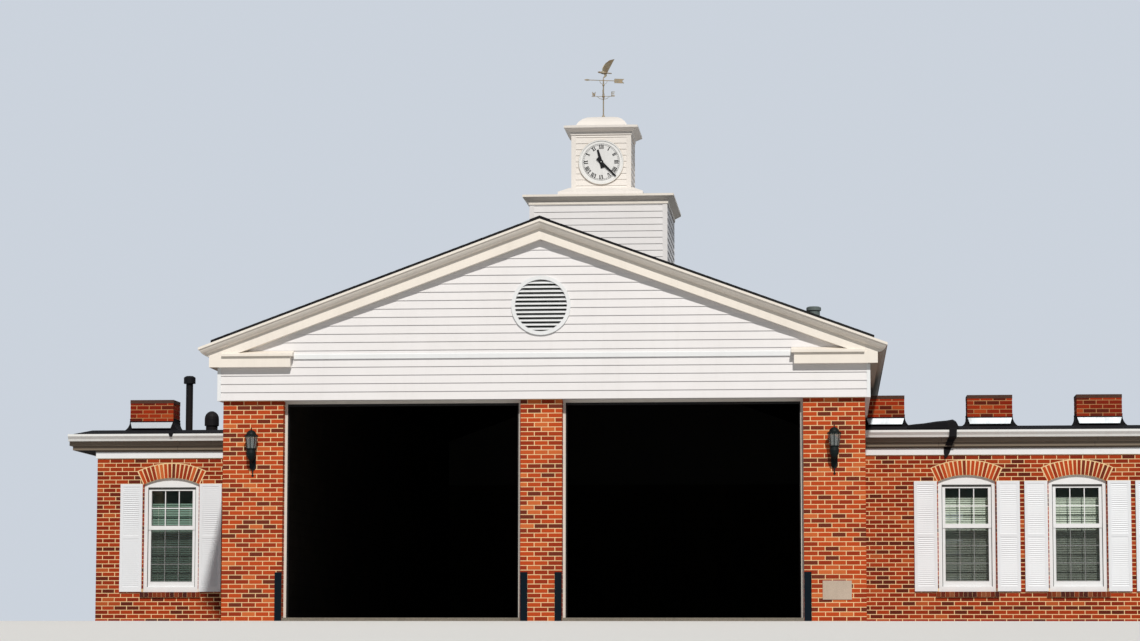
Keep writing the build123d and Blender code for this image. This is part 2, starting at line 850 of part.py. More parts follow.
def vent_hood():
    """Squat pipe under a domed hood."""
    r, h = hood_radius, hood_height
    eave = h - hood_cap_height
    return turned([(0, 0), (0.82 * r, 0), (0.82 * r, eave), (r, eave), (r, eave + 0.45 * hood_cap_height),
                   ((0.74 * r, eave + 0.84 * hood_cap_height), (0.25 * r, h)), (0, h)])


# Cupola

def boarded_box(half, z0, z1):
    """Square box with a raised board each way round every corner."""
    core = block(corner_board_proud - half, half - corner_board_proud, corner_board_proud - half,
                 half - corner_board_proud, z0, z1)
    for x in (-1, 1):
        for y in (-1, 1):
            core += block(x * half, x * (half - corner_board_width), y * half, y * (half - corner_board_width),
                          z0, z1)
    return core


def cupola_base():
    """Square sided box that grows out of the ridge."""
    top = base_eave_height
    above = prism_y([(-base_half, top), (-base_half, ridge_height - roof_slope * base_half), (0, ridge_height),
                     (base_half, ridge_height - roof_slope * base_half), (base_half, top)], -base_half, base_half)
    box = boarded_box(base_half, ridge_height - roof_slope * base_half, top) & above
    roof = square_block([(base_half, top), (plinth_half, base_roof_top)], base_half)
    return box + roof


def square_cornice(half, reach, top, crown):
    """Strip, sloped soffit and bed board round a square box, fitted over its corner boards."""
    edge = half + reach
    foot, bed = top - eave_strip - crown, top - eave_strip - 0.55 * crown
    outer = square_block([(half + crown_step, foot), (half + crown_step, bed), (edge, top - eave_strip),
                          (edge, top)], edge)
    return outer - boarded_box(half, foot, top)


def cupola_cornice():
    return square_cornice(base_half, base_eave_reach, base_eave_height, base_crown_height)


def tower_plinth():
    return square_block([(plinth_half, base_roof_top), (plinth_half, base_roof_top + plinth_height * 0.45),
                         (plinth_top_half, plinth_top)], plinth_half)


def clock_tower():
    return boarded_box(tower_half, plinth_top, tower_eave_height)


def tower_cornice():
    return square_cornice(tower_half, tower_eave_reach, tower_eave_height, tower_crown_height)


def tower_roof():
    """Square bell-shaped cap: low skirt, rounded shoulder and a slightly domed top."""
    z0 = tower_eave_height
    z1, z2 = z0 + tower_roof_shoulder_rise, z0 + tower_roof_rise
    edge, shoulder, top = tower_half + tower_eave_reach, tower_roof_shoulder, tower_roof_top_half
    bend = (shoulder - 0.35 * (shoulder - top), z1 + 0.62 * (z2 - z1))
    crown = (top / 2, z2 + 0.75 * tower_roof_crown)
    return square_block([(edge, z0), (shoulder, z1), (bend, (top, z2)), (crown, (0, tower_roof_top))], edge)


# Clock

def facing_front(shape, out):
    """Places a flat shape, drawn in XY with Z towards the viewer, on the clock at a distance out."""
    return Pos(0, corner_board_proud - tower_half - out, dial_height) * Rot(90, 0, 0) * shape


def clock_dial():
    """Round dial in a raised rim, with the arbor that carries the hands."""
    bottom = (Align.CENTER, Align.CENTER, Align.MIN)
    disc = extrude(RegularPolygon(dial_radius, dial_sides), amount=dial_thickness)
    recess = extrude(RegularPolygon(dial_radius - dial_rim, dial_sides), amount=dial_recess)
    disc -= Pos(0, 0, dial_thickness - dial_recess) * recess
    length = dial_thickness - dial_recess + 3 * hand_gap + 2 * hand_thickness
    return facing_front(disc + Cylinder(arbor_radius, length, align=bottom), 0)


def clock_hand(length, width, tail, angle, layer):
    """Tapered blunt hand with a round boss and a broad tail, turned clockwise from twelve."""
    root, end, tip = 0.5 * width, 0.65 * width, 0.3 * width
    blade = make_face(Polyline((-end, -tail), (end, -tail), (root, 0), (tip, length), (-tip, length), (-root, 0),
                               close=True))
    hand = extrude(blade + Circle(0.7 * width), amount=hand_thickness)
    hand -= Cylinder(arbor_radius + arbor_clearance, 4 * hand_thickness)
    out = dial_thickness - dial_recess + hand_gap + layer * (hand_thickness + hand_gap)
    return facing_front(Rot(0, 0, -angle) * hand, out)


# Weather vane

def vane_mast():
    """Mast with its foot and ball, the four compass arms on their scrolls, and the pin of the vane."""
    r, root, end = mast_radius, tower_roof_top, hub_bottom - vane_seat_gap
    ball = mast_ball_radius
    mast = turned([(0, root), (mast_foot_radius, root), (mast_foot_radius, root + r),
                   (r, root + 4 * r), (r, compass_height - ball),
                   ((ball, compass_height), (r, compass_height + ball)), (r, end), (vane_pin_radius, end),
                   (vane_pin_radius, end + vane_pin_length), (0, end + vane_pin_length)])
    half, t = compass_arm, compass_bar / 2
    bar = block(-half, half, -t, t, compass_height - t, compass_height + t)
    low = compass_height - compass_scroll_drop
    scroll = prism_y([(-half + 4 * t, compass_height), ((0, low), (half - 4 * t, compass_height)),
                      (half - 6 * t, compass_height), ((0, low + 2 * t), (-half + 6 * t, compass_height))], -t, t)
    cross = bar + scroll
    return mast + cross + Rot(0, 0, 90) * cross


def bird_body():
    """Spindle from beak to tail root, revolved about its own nearly level line."""
    r = bird_body_radius
    spindle = turned([(0, -3.6 * r), (0.3 * r, -3.1 * r), (0.6 * r, -2.7 * r), (0.5 * r, -1.9 * r),
                      ((r, 0), (0.42 * r, 2.3 * r)), (0, 2.6 * r)])
    return Rot(0, bird_pitch, 0) * spindle


def bird_wing(side):
    """One raised wing: a thin curved blade that leans out from the body."""
    r = bird_body_radius
    blade = prism_y([(-0.8 * r, 0), ((0.9 * r, 5.6 * r), (6.2 * r, 8.2 * r)), ((4.5 * r, 4.8 * r), (2.3 * r, 0))],
                    -feather_plate / 2, feather_plate / 2)
    return Pos(0, side * r / 2, 0) * Rot(-side * wing_lean, 0, 0) * blade


def weather_bird():
    """Eagle about to settle, with two raised wings, a fanned tail and its legs, from the feet up."""
    r = bird_body_radius
    tail = Rot(0, 4, 0) * block(1.8 * r, 4.9 * r, -0.9 * r, 0.9 * r, -feather_plate, feather_plate)
    legs = prism_y([(0.2 * r, 0), (1.9 * r, 0), (2.1 * r, -1.9 * r), (0.9 * r, -3 * r), (-0.3 * r, -3 * r),
                    (0.6 * r, -1.8 * r)], -feather_plate, feather_plate)
    return Pos(0, 0, 3 * r) * (bird_body() + bird_wing(-1) + bird_wing(1) + tail + legs)


def weather_vane():
    """Hub with its ball and scrolls, the arrow, and the bird over it, turned a little off the front."""
    ball_middle = hub_bottom + hub_ball_height / 2
    sleeve = 2 * vane_pin_radius
    hub = turned([(0, hub_bottom), (sleeve, hub_bottom), ((hub_ball_radius, ball_middle),
                  (sleeve, hub_bottom + hub_ball_height)), (sleeve, arrow_height + arrow_shaft),
                  (vane_bar, arrow_height + perch_rise), (0, arrow_height + perch_rise)])
    z, s = arrow_height, arrow_shaft / 2
    tip, head = -arrow_nose, arrow_head_length - arrow_nose
    tail, fletch, notch = arrow_tail, arrow_tail - fletch_length, arrow_tail - fletch_height / 2
    teardrop = (tip + arrow_head_length / 2, z + arrow_head_height / 2)
    barb = (tip + arrow_head_length / 2, z - arrow_head_height / 2)
    arrow = [(tip, z), (teardrop, (head, z + s)), (fletch, z + s), (fletch + s, z + fletch_height / 2),
             (tail, z + fletch_height / 2), (notch, z), (tail, z - fletch_height / 2),
             (fletch + s, z - fletch_height / 2), (fletch, z - s), (head, z - s), (barb, (tip, z))]
    r, t = vane_scroll_radius, vane_bar
    scroll = [(-r, z), ((0, z - r), (r, z)), (r - t, z), ((0, z - r + t), (t - r, z))]
    plates = prism_y(arrow, -vane_plate / 2, vane_plate / 2)
    plates += prism_y(scroll, -vane_bar / 2, vane_bar / 2)
    bird = Pos(0, 0, z + perch_rise) * weather_bird()
    bore = Pos(0, 0, hub_bottom) * Cylinder(vane_pin_radius + vane_pin_clearance, vane_pin_length,
                                            align=(Align.CENTER, Align.CENTER, Align.MIN))
    return hub + Rot(0, 0, vane_angle) * (plates + bird) - bore


# Writing the sub-parts

save("floor_slab", *floor_slabs())
save("left_pier", pier(-outer_pier_centre, outer_pier_width))
save("centre_pier", pier(0, centre_pier_width))
save("right_pier", pier(outer_pier_centre, outer_pier_width))
save("bay_right_wall", side_wall())
save("bay_left_wall", mirror(side_wall(), about=Plane.YZ))
save("bay_back_wall", back_wall())
save("front_gable_wall", gable_wall())
save("back_gable_wall", mirror(gable_wall(), about=Plane.XZ))
save("side_bands", both_sides(side_band()))
save("roof_right_slope", roof_slope_slab())
save("roof_left_slope", mirror(roof_slope_slab(), about=Plane.YZ))

right_eave = eave_cornice()
save("eave_cornices", both_sides(right_eave - eave_trough()))
save("rake_cornices", both_ends(rake_cornice(right_eave)))
save("belt_mouldings", both_ends(belt_moulding()))
save("gable_vents", both_ends(gable_vent()))

save("door_frames", door_frame(-door_centre), door_frame(door_centre))
half_pier = centre_pier_width / 2
guards = [corner_guard(-half_pier, 1), corner_guard(half_pier, -1),
          corner_guard(-half_pier - door_width, -1), corner_guard(half_pier + door_width, 1)]
save("corner_guards", *guards)
save("date_stone", date_stone())
save("lanterns", *[place * lantern_metal() for place in lantern_places()])
save("lantern_glass", *[place * lantern_pane() for place in lantern_places()])
save("roof_flue", roof_flue())

for side, word in ((-1, "left"), (1, "right")):
    for name, wall in wing_walls(side).items():
        save(f"{word}_wing_{name}_wall", wall)
    save(f"{word}_wing_roof", wing_roof(side))
save("wing_cornices", *[piece for side in (-1, 1) for piece in wing_cornice(side)])
front_gutters = [gutter(side) for side in (-1, 1)]
gutter_mirror = Plane((0, (wing_front + wing_back) / 2, 0), z_dir=(0, 1, 0))
save("wing_gutters", *front_gutters, *[mirror(one, about=gutter_mirror) for one in front_gutters])

places = [place for _, _, place in wall_stations()]
save("window_frames", *[place * window_frame() for place in places])
save("window_glass", *[place * pane for place in places for pane in window_panes()])
save("window_sills", *[place * sill_block(sill_reach) for place in places])
save("window_arches", *[place * arch_ring_block() for place in places])
save("shutters", *[place * shutter(side) for place in places for side in (-1, 1)])

save("chimneys", *[place * chimney(width) for place, width in chimney_places()])
save("chimney_caps", *[place * chimney_cap(width) for place, width in chimney_places()])
save("chimney_curbs", *[place * chimney_curb(width) for place, width in chimney_places()])
save("chimney_flashings", *[place * chimney_flashing(width) for place, width in chimney_places()])
item_y = wing_front + roof_item_set_back
save("flue_pipe", Pos(-bay_half - flue_from_bay, item_y, wing_roof_top) * flue_pipe())
save("vent_hood", Pos(-bay_half - hood_from_bay, item_y, wing_roof_top) * vent_hood())

save("cupola_base", cupola_base())
save("cupola_cornice", cupola_cornice())
save("tower_plinth", tower_plinth())
save("clock_tower", clock_tower())
save("tower_cornice", tower_cornice())
save("tower_roof", tower_roof())
save("clock_dial", clock_dial())
save("hour_hand", clock_hand(hour_hand_length, hour_hand_width, hour_hand_tail, hour_hand_angle, 0))
save("minute_hand", clock_hand(minute_hand_length, minute_hand_width, minute_hand_tail, minute_hand_angle, 1))
save("vane_mast", vane_mast())
save("weather_vane", weather_vane())
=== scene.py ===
"""Dresses a small fire station: brickwork, lap boards, shingles, window bars, clock, vane and finishes."""

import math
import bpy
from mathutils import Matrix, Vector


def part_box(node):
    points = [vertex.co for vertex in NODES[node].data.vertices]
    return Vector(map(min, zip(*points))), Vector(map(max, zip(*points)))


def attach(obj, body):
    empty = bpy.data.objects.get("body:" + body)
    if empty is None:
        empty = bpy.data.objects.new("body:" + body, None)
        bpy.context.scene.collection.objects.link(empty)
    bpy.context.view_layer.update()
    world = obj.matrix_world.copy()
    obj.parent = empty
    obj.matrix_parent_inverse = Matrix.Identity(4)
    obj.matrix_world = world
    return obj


bl_info = {
    "name": "Fire station dressing",
    "version": (1, 0, 0),
    "blender": (4, 5, 0),
    "location": "View3D > Sidebar > Fire Station",
    "description": "Lays bricks, boards, shingles and fittings on the fire station's fixed frame and paints it",
    "category": "Object",
}

import bmesh
import bpy
from mathutils import Matrix, Vector

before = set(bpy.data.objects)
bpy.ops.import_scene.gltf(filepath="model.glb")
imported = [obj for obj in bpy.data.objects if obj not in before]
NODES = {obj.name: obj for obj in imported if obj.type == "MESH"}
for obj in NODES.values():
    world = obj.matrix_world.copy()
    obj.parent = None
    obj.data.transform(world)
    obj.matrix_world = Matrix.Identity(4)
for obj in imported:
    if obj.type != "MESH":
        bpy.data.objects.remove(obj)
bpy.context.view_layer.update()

# Faces of the frame that the dressing starts from, in metres
BAY_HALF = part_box("right_pier")[1].x
BAY_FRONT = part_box("right_pier")[0].y
BAY_BACK = -BAY_FRONT
DOOR_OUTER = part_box("right_pier")[0].x
DOOR_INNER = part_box("centre_pier")[1].x
BRICK_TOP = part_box("right_pier")[1].z
SIDING_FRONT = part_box("front_gable_wall")[0].y
SIDING_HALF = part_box("front_gable_wall")[1].x
WING_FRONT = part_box("right_wing_front_wall")[0].y
WING_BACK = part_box("right_wing_back_wall")[1].y
RIGHT_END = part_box("right_wing_end_wall")[1].x
LEFT_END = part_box("left_wing_end_wall")[0].x
WING_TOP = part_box("right_wing_front_wall")[1].z
WING_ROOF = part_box("right_wing_roof")[1].z
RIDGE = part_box("roof_right_slope")[1].z
ROOF_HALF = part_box("roof_right_slope")[1].x
ROOF_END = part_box("roof_right_slope")[1].y
BASE_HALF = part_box("cupola_base")[1].x
BASE_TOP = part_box("cupola_cornice")[1].z
BASE_CROWN_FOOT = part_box("cupola_cornice")[0].z
TOWER_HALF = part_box("clock_tower")[1].x
TOWER_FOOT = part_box("clock_tower")[0].z
TOWER_CROWN_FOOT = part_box("tower_cornice")[0].z
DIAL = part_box("clock_dial")
DIAL_Z = (DIAL[0].z + DIAL[1].z) / 2
DIAL_RADIUS = DIAL[1].x
ARM_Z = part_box("weather_vane")[0].z - 0.194

# Sizes that the frame's outlines share with the dressing, in metres
INNER_FACE = 0.29
ROOF_SLOPE = 0.368
RAKE_DEPTH = 0.285
FRIEZE = 0.13
EAVE_BOTTOM = 3.74
VENT_Z = 4.633
VENT_CUT = 0.415
VENT_CLEAR = 0.383
WINDOW_HALF = 0.4525
WINDOW_BOTTOM = 0.489
SILL_BOTTOM = 0.41
SILL_HALF = 0.4925
SILL_REACH = 0.03
SILL_BRICKS = 14
SPRING_Z = 2.227
ARCH_RADIUS = 1.04546
ARCH_CENTRE = 1.28454
ARCH_RING = 0.232
ARCH_ANGLE = math.asin(WINDOW_HALF / ARCH_RADIUS)
ARCH_TOP = ARCH_CENTRE + ARCH_RADIUS + ARCH_RING + 0.01
ARCH_BESIDE = 0.85
REVEAL = 0.043
DOOR_REVEAL = 0.148
SASH_HALF = 0.3365
SASH_BOTTOM = 0.665
MEETING_RAIL = (1.496, 1.561)
SASH_TOP = 2.126
SASH_FACE = 0.057
CASING_HALF = 0.3915
CASING_BOTTOM, CASING_TOP = 0.574, 2.181
GLASS_Y = 0.0875
SHUTTER = (0.4675, 0.8275)
SHUTTER_STILE = 0.048
SHUTTER_FIELDS = ((0.5738, 1.348), (1.396, 2.185))
SHUTTER_FACE = 0.038
CHIMNEYS = ((5.11, 0.6), (6.76, 0.705), (8.481, 0.705), (-6.76, 0.705))
CHIMNEY_Y = -7.829
CHIMNEY_DEPTH = 0.5
CHIMNEY_HEIGHT = 0.438
CURB_TOP = 0.148
CORNER_BOARD = 0.087
CORNER_CAP = 0.03
CORNER_PROUD = 0.014
WINDOWS = [(x, y, turn) for y, turn in ((WING_FRONT, 0), (WING_BACK, 180)) for x in (6.372, 8.1, 9.828, -6.372)]
WINDOWS += [(x, y, turn) for x, turn in ((RIGHT_END, 90), (LEFT_END, -90)) for y in (-5.244, -2.194)]

# The photograph's camera: focal length and principal point in pixels of a 1140 x 641 frame
PHOTO_WIDTH, PHOTO_HEIGHT = 1140, 641
PHOTO_FOCAL = 3000
PHOTO_CENTRE_Y = 358.657
CAMERA_AT = (4.2068, -55.9965, -0.3183)
CAMERA_YAW, CAMERA_PITCH, CAMERA_ROLL = 4.933, 5.415, -0.054
SENSOR = 36
SUN_TOWARDS = (0.19, -1.0, 0.88)
GROUND_BOUNCE = 0.6


def length(name, description, default):
    return bpy.props.FloatProperty(name=name, description=description, default=default, unit="LENGTH", precision=4)


def colour(name, description, default):
    return bpy.props.FloatVectorProperty(
        name=name, description=description, default=default, subtype="COLOR", size=3, min=0, max=1)


class FireStationSizes(bpy.types.PropertyGroup):
    """Sizes of what repeats on the building"""
    brick_pitch: length("Brick pitch", "One brick and its upright joint", 0.2032)
    course: length("Course", "One brick's height and its bed joint", 0.06773)
    joint: length("Joint", "Thickness of the mortar joints", 0.0125)
    brick_proud: length("Brick proud", "How far brick faces stand out of the mortar", 0.003)
    arch_bricks: bpy.props.IntProperty(
        name="Arch bricks", description="Bricks on end in a window's arch", default=16, min=5)
    board_exposure: length("Board exposure", "Height of one lap board on the gables", 0.1226)
    cupola_exposure: length("Cupola exposure", "Height of one lap board on the cupola", 0.121)
    tower_exposure: length("Tower exposure", "Height of one lap board on the clock tower", 0.1145)
    board_lap: length("Board lap", "How far a board's lower edge stands out", 0.021)
    shingle_exposure: length("Shingle exposure", "Height of one course of shingles", 0.143)
    shingle_width: length("Shingle width", "Width of one shingle tab", 0.305)
    louvre_pitch: length("Louvre pitch", "Spacing of the shutters' louvres", 0.032)
    blind_pitch: length("Blind pitch", "Spacing of the blinds' slats", 0.0365)
    muntin: length("Window bar", "Width of the bars that divide a sash", 0.0145)
    numeral_height: length("Numeral height", "Height of the dial's numerals", 0.08)


class FireStationColours(bpy.types.PropertyGroup):
    """Colours of the building's finishes, as linear values"""
    brick_dark: colour("Brick, darkest", "Overburnt bricks", (0.1, 0.02, 0.012))
    brick_red: colour("Brick, red", "Deep red bricks", (0.28, 0.028, 0.008))
    brick_orange: colour("Brick, orange", "The common brick", (0.49, 0.064, 0.013))
    brick_light: colour("Brick, light", "Pale underburnt bricks", (0.62, 0.15, 0.04))
    mortar: colour("Mortar", "Tan mortar", (0.87, 0.63, 0.34))
    # The inner walls' colour is painted shadow: the dark of the unlit bay, not a paint on its walls.
    inner_wall_shadow: colour("Inner walls", "Dark painted block inside the bay", (0.05, 0.044, 0.038))
    siding: colour("Siding", "White paint on lap boards", (0.785, 0.765, 0.77))
    trim: colour("Trim", "White paint on frames and mouldings", (0.81, 0.825, 0.84))
    cream: colour("Cornice", "Cream-white paint on the bay's cornice", (0.86, 0.8, 0.725))
    shingle: colour("Shingles", "Black mineral grit", (0.011, 0.011, 0.013))
    membrane: colour("Membrane", "Black roofing felt", (0.009, 0.009, 0.011))
    concrete: colour("Concrete", "Trowelled grey concrete", (0.2, 0.175, 0.14))
    iron: colour("Lantern paint", "Green-black paint", (0.006, 0.01, 0.01))
    guard: colour("Guard paint", "Blue-black paint on the corner guards", (0.003, 0.009, 0.015))
    stone: colour("Date stone", "Pale smooth stone", (0.52, 0.42, 0.335))
    bronze: colour("Vane bronze", "Weathered bronze of the vane", (0.36, 0.27, 0.17))
    verdigris: colour("Verdigris", "Green crust on the vane", (0.24, 0.25, 0.2))
    ground: colour("Ground", "Pale studio floor", (0.8, 0.79, 0.77))


# Node trees

def rgba(shade):
    return (*shade, 1) if len(shade) == 3 else tuple(shade)


def feed(node, **inputs):
    """Gives a node's inputs a number, a colour or an output, by name or by index, as in input_0."""
    for name, value in inputs.items():
        socket = node.inputs[int(name[6:]) if name.startswith("input_") else name.replace("_", " ")]
        if hasattr(value, "is_output"):
            socket.id_data.links.new(value, socket)
        else:
            socket.default_value = rgba(value) if socket.type == "RGBA" else value


def add_node(tree, kind, settings=None, **inputs):
    """Adds a node with its settings and its inputs."""
    node = tree.nodes.new(kind)
    for name, value in (settings or {}).items():
        setattr(node, name, value)
    feed(node, **inputs)
    return node


def maths(tree, operation, a, b=0.0, clamp=False):
    node = add_node(tree, "ShaderNodeMath", {"operation": operation, "use_clamp": clamp}, input_0=a, input_1=b)
    return node.outputs[0]


def within(tree, value, limit):
    """1 where a value lies nearer to 0 than the limit."""
    return maths(tree, "LESS_THAN", maths(tree, "ABSOLUTE", value), limit)


def above(tree, value, floor, gain):
    """How far a value stands above a floor, times a gain, kept from 0 to 1."""
    return maths(tree, "MULTIPLY", maths(tree, "SUBTRACT", value, floor, True), gain, True)


def varied(tree, shade, value, spread):
    """Lightens and darkens a shade by a value from 0 to 1."""
    level = maths(tree, "MULTIPLY", maths(tree, "SUBTRACT", value, 0.5), spread)
    level = maths(tree, "ADD", level, 1.0)
    return add_node(tree, "ShaderNodeVectorMath", {"operation": "SCALE"}, input_0=shade, Scale=level).outputs[0]


def blend_colour(tree, share, a, b):
    return add_node(tree, "ShaderNodeMix", {"data_type": "RGBA"}, input_0=share, input_6=a, input_7=b).outputs[2]


def ramp(tree, share, stops, constant=False):
    """Colour ramp from (place, colour) stops."""
    node = add_node(tree, "ShaderNodeValToRGB", Fac=share)
    ramp_stops = node.color_ramp.elements
    node.color_ramp.interpolation = "CONSTANT" if constant else "LINEAR"
    while len(ramp_stops) < len(stops):
        ramp_stops.new(0.5)
    for stop, (place, shade) in zip(ramp_stops, stops):
        stop.position = place
        stop.color = rgba(shade)
    return node.outputs["Color"]


def place_of(tree):
    return tree.nodes.new("ShaderNodeTexCoord").outputs["Object"]


def axes_of(tree):
    return add_node(tree, "ShaderNodeSeparateXYZ", Vector=place_of(tree)).outputs


def tone_of(tree):
    return add_node(tree, "ShaderNodeAttribute", {"attribute_name": "tone"}).outputs["Fac"]


def noise_of(tree, place, scale, detail, roughness=0.5):
    node = add_node(tree, "ShaderNodeTexNoise", Vector=place, Scale=scale, Detail=detail, Roughness=roughness)
    return node.outputs[0]


def sockets(tree, wanted):
    """Makes a group's sockets from (name, direction, kind, default) rows and gives back its input's outputs."""
    for name, direction, kind, default in wanted:
        socket = tree.interface.new_socket(name, in_out=direction, socket_type="NodeSocket" + kind)
        if default is not None:
            socket.default_value = default
    return tree.nodes.new("NodeGroupInput").outputs


def weather_group():
    """Cloudy fading, rain streaks and fine grain over a paint or masonry colour."""
    tree = bpy.data.node_groups.new("Weathered surface", "ShaderNodeTree")
    given = sockets(tree, [
        ("Color", "INPUT", "Color", (0.8, 0.8, 0.8, 1)), ("Dirt", "INPUT", "Color", (0.2, 0.17, 0.13, 1)),
        ("Clouds", "INPUT", "Float", 0.1), ("Streaks", "INPUT", "Float", 0.1), ("Grain", "INPUT", "Float", 0.1),
        ("Grain Scale", "INPUT", "Float", 180.0), ("Gloss", "INPUT", "Float", 0.5),
        ("Color", "OUTPUT", "Color", None), ("Roughness", "OUTPUT", "Float", None),
        ("Height", "OUTPUT", "Float", None),
    ])
    place = place_of(tree)
    upright = add_node(tree, "ShaderNodeMapping", Vector=place, Scale=(9.0, 9.0, 0.7))
    clouds = above(tree, noise_of(tree, place, 1.3, 5.0, 0.62), 0.42, 2.2)
    streaks = above(tree, noise_of(tree, upright.outputs[0], 1.0, 4.0, 0.7), 0.5, 3.0)
    grain = noise_of(tree, place, given["Grain Scale"], 3.0, 0.7)
    dirt = maths(tree, "ADD", maths(tree, "MULTIPLY", clouds, given["Clouds"]),
                 maths(tree, "MULTIPLY", streaks, given["Streaks"]), True)
    dirty = blend_colour(tree, dirt, given["Color"], given["Dirt"])
    add_node(tree, "NodeGroupOutput", Color=varied(tree, dirty, grain, given["Grain"]), Height=grain,
             Roughness=maths(tree, "ADD", given["Gloss"], maths(tree, "MULTIPLY", dirt, 0.35), True))


def grit_group():
    """Mineral granules: small cells that differ in tone, with their height."""
    tree = bpy.data.node_groups.new("Mineral grit", "ShaderNodeTree")
    given = sockets(tree, [
        ("Color", "INPUT", "Color", (0.1, 0.1, 0.1, 1)), ("Scale", "INPUT", "Float", 300.0),
        ("Contrast", "INPUT", "Float", 0.6), ("Color", "OUTPUT", "Color", None), ("Height", "OUTPUT", "Float", None),
    ])
    cells = add_node(tree, "ShaderNodeTexVoronoi", Vector=place_of(tree), Scale=given["Scale"]).outputs
    tone = add_node(tree, "ShaderNodeSeparateColor", Color=cells["Color"]).outputs[0]
    add_node(tree, "NodeGroupOutput", Color=varied(tree, given["Color"], tone, given["Contrast"]),
             Height=cells["Distance"])


def group_in(tree, name, **inputs):
    return add_node(tree, "ShaderNodeGroup", {"node_tree": bpy.data.node_groups[name]}, **inputs).outputs


def new_finish(name, see_through=False):
    """Makes a material and gives its tree and its Principled BSDF."""
    finish = bpy.data.materials.new(name)
    finish.use_nodes = True
    if see_through:
        finish.surface_render_method = "BLENDED"
    return finish.node_tree, finish.node_tree.nodes["Principled BSDF"]


def weather(tree, surface, shade, dirt=(0.2, 0.17, 0.13), clouds=0.1, streaks=0.1, grain=0.05, gloss=0.5,
            grain_scale=180.0, specular=0.5, metallic=0.0, height=None, bump=0.0006, strength=0.5):
    """Weathers a shade and gives it to a surface, with its roughness and its relief."""
    out = group_in(tree, "Weathered surface", Color=shade, Dirt=dirt, Clouds=clouds, Streaks=streaks, Grain=grain,
                   Grain_Scale=grain_scale, Gloss=gloss)
    relief = add_node(tree, "ShaderNodeBump", Height=height or out["Height"], Distance=bump, Strength=strength)
    feed(surface, Base_Color=out["Color"], Roughness=out["Roughness"], Metallic=metallic,
         Specular_IOR_Level=specular, Normal=relief.outputs[0])


PAINT_DIRT = (0.25, 0.21, 0.16)


def painted(name, shade, dirt, clouds, streaks, grain, gloss, specular=0.35, **looks):
    """A weathered paint, metal or membrane of one colour."""
    tree, surface = new_finish(name)
    weather(tree, surface, shade, dirt, clouds, streaks, grain, gloss, 160.0, specular, **looks)


def masked_paint(name, mask, shade, other, **looks):
    """Paint that changes to another shade where a mask of the object's coordinates is 1."""
    tree, surface = new_finish(name)
    weather(tree, surface, blend_colour(tree, mask(tree, *axes_of(tree)), shade, other), **looks)


def inside_bay(tree, x, y, z):
    """1 inside the engine bay and 0 outside it."""
    return maths(tree, "MULTIPLY", within(tree, x, BAY_HALF - INNER_FACE), within(tree, y, BAY_BACK - INNER_FACE))


def side_eaves_shadow(tree, x, y, z):
    """1 on the eaves along the sides of the bay, which are painted dark as shadow, and 0 on the gables' cornices."""
    beside = maths(tree, "GREATER_THAN", maths(tree, "ABSOLUTE", x), SIDING_HALF - 0.01)
    return maths(tree, "MULTIPLY", beside, within(tree, y, 0.13 - SIDING_FRONT))


def door_frame_shadow(tree, x, y, z):
    """1 on the inner part of a door's frame, which is painted black as shadow."""
    across = maths(tree, "ABSOLUTE", x)
    beside = maths(tree, "MINIMUM", maths(tree, "SUBTRACT", DOOR_OUTER, across),
                   maths(tree, "SUBTRACT", across, DOOR_INNER))
    edge = maths(tree, "MINIMUM", beside, maths(tree, "SUBTRACT", BRICK_TOP, z))
    return maths(tree, "GREATER_THAN", edge, 0.042)


def vent_depth_shadow(tree, x, y, z):
    """0 at the face of the round vents and 1 deep behind it, where the louvres are painted dark as shadow."""
    depth = maths(tree, "SUBTRACT", -SIDING_FRONT - 0.004, maths(tree, "ABSOLUTE", y))
    return maths(tree, "MULTIPLY", depth, 30.0, True)


def wing_cornice_finish(shade, board_shadow_colour):
    """White frieze below, and above it, behind the gutter, boards painted dark grey as the gutter's shadow, with open
    joints every few metres.
    """
    tree, surface = new_finish("wing_cornice_paint")
    x, y, z = axes_of(tree)
    board_length, open_share = 2.44, 0.003
    along = maths(tree, "DIVIDE", maths(tree, "ADD", x, y), board_length)
    joint = maths(tree, "LESS_THAN", maths(tree, "FRACT", along), open_share)
    boards = blend_colour(tree, joint, board_shadow_colour, (0.05, 0.03, 0.02))
    # Above the frieze the boards take the painted shadow colour.
    upper = maths(tree, "GREATER_THAN", z, WING_TOP - 0.028)
    weather(tree, surface, blend_colour(tree, upper, shade, boards), streaks=0.08)


def brick_finish(colours, name, gain, soot):
    """Fired brick: each brick has its own tone, with iron spots, faint soot and a sandy face."""
    tree, surface = new_finish(name)
    dark, red, orange, light = ([c * g for c, g in zip(shade, gain)] for shade in (
        colours.brick_dark, colours.brick_red, colours.brick_orange, colours.brick_light))
    tones = ramp(tree, tone_of(tree), [(0.0, dark), (0.1, dark), (0.17, red), (0.42, red), (0.55, orange),
                                       (0.88, orange), (0.96, light), (1.0, light)])
    place = place_of(tree)
    mottle = maths(tree, "MULTIPLY", noise_of(tree, place, 24.0, 4.0, 0.65), 0.25)
    cells = add_node(tree, "ShaderNodeTexVoronoi", Vector=place, Scale=85.0)
    spots = maths(tree, "MULTIPLY", maths(tree, "LESS_THAN", cells.outputs["Distance"], 0.16), 0.4)
    spotted = blend_colour(tree, spots, blend_colour(tree, mottle, tones, orange), (0.09, 0.025, 0.015))
    weather(tree, surface, spotted, (0.16, 0.05, 0.03), clouds=0.14, streaks=soot, grain=0.35, gloss=0.8,
            grain_scale=240.0, specular=0.1, bump=0.0012, strength=0.7)


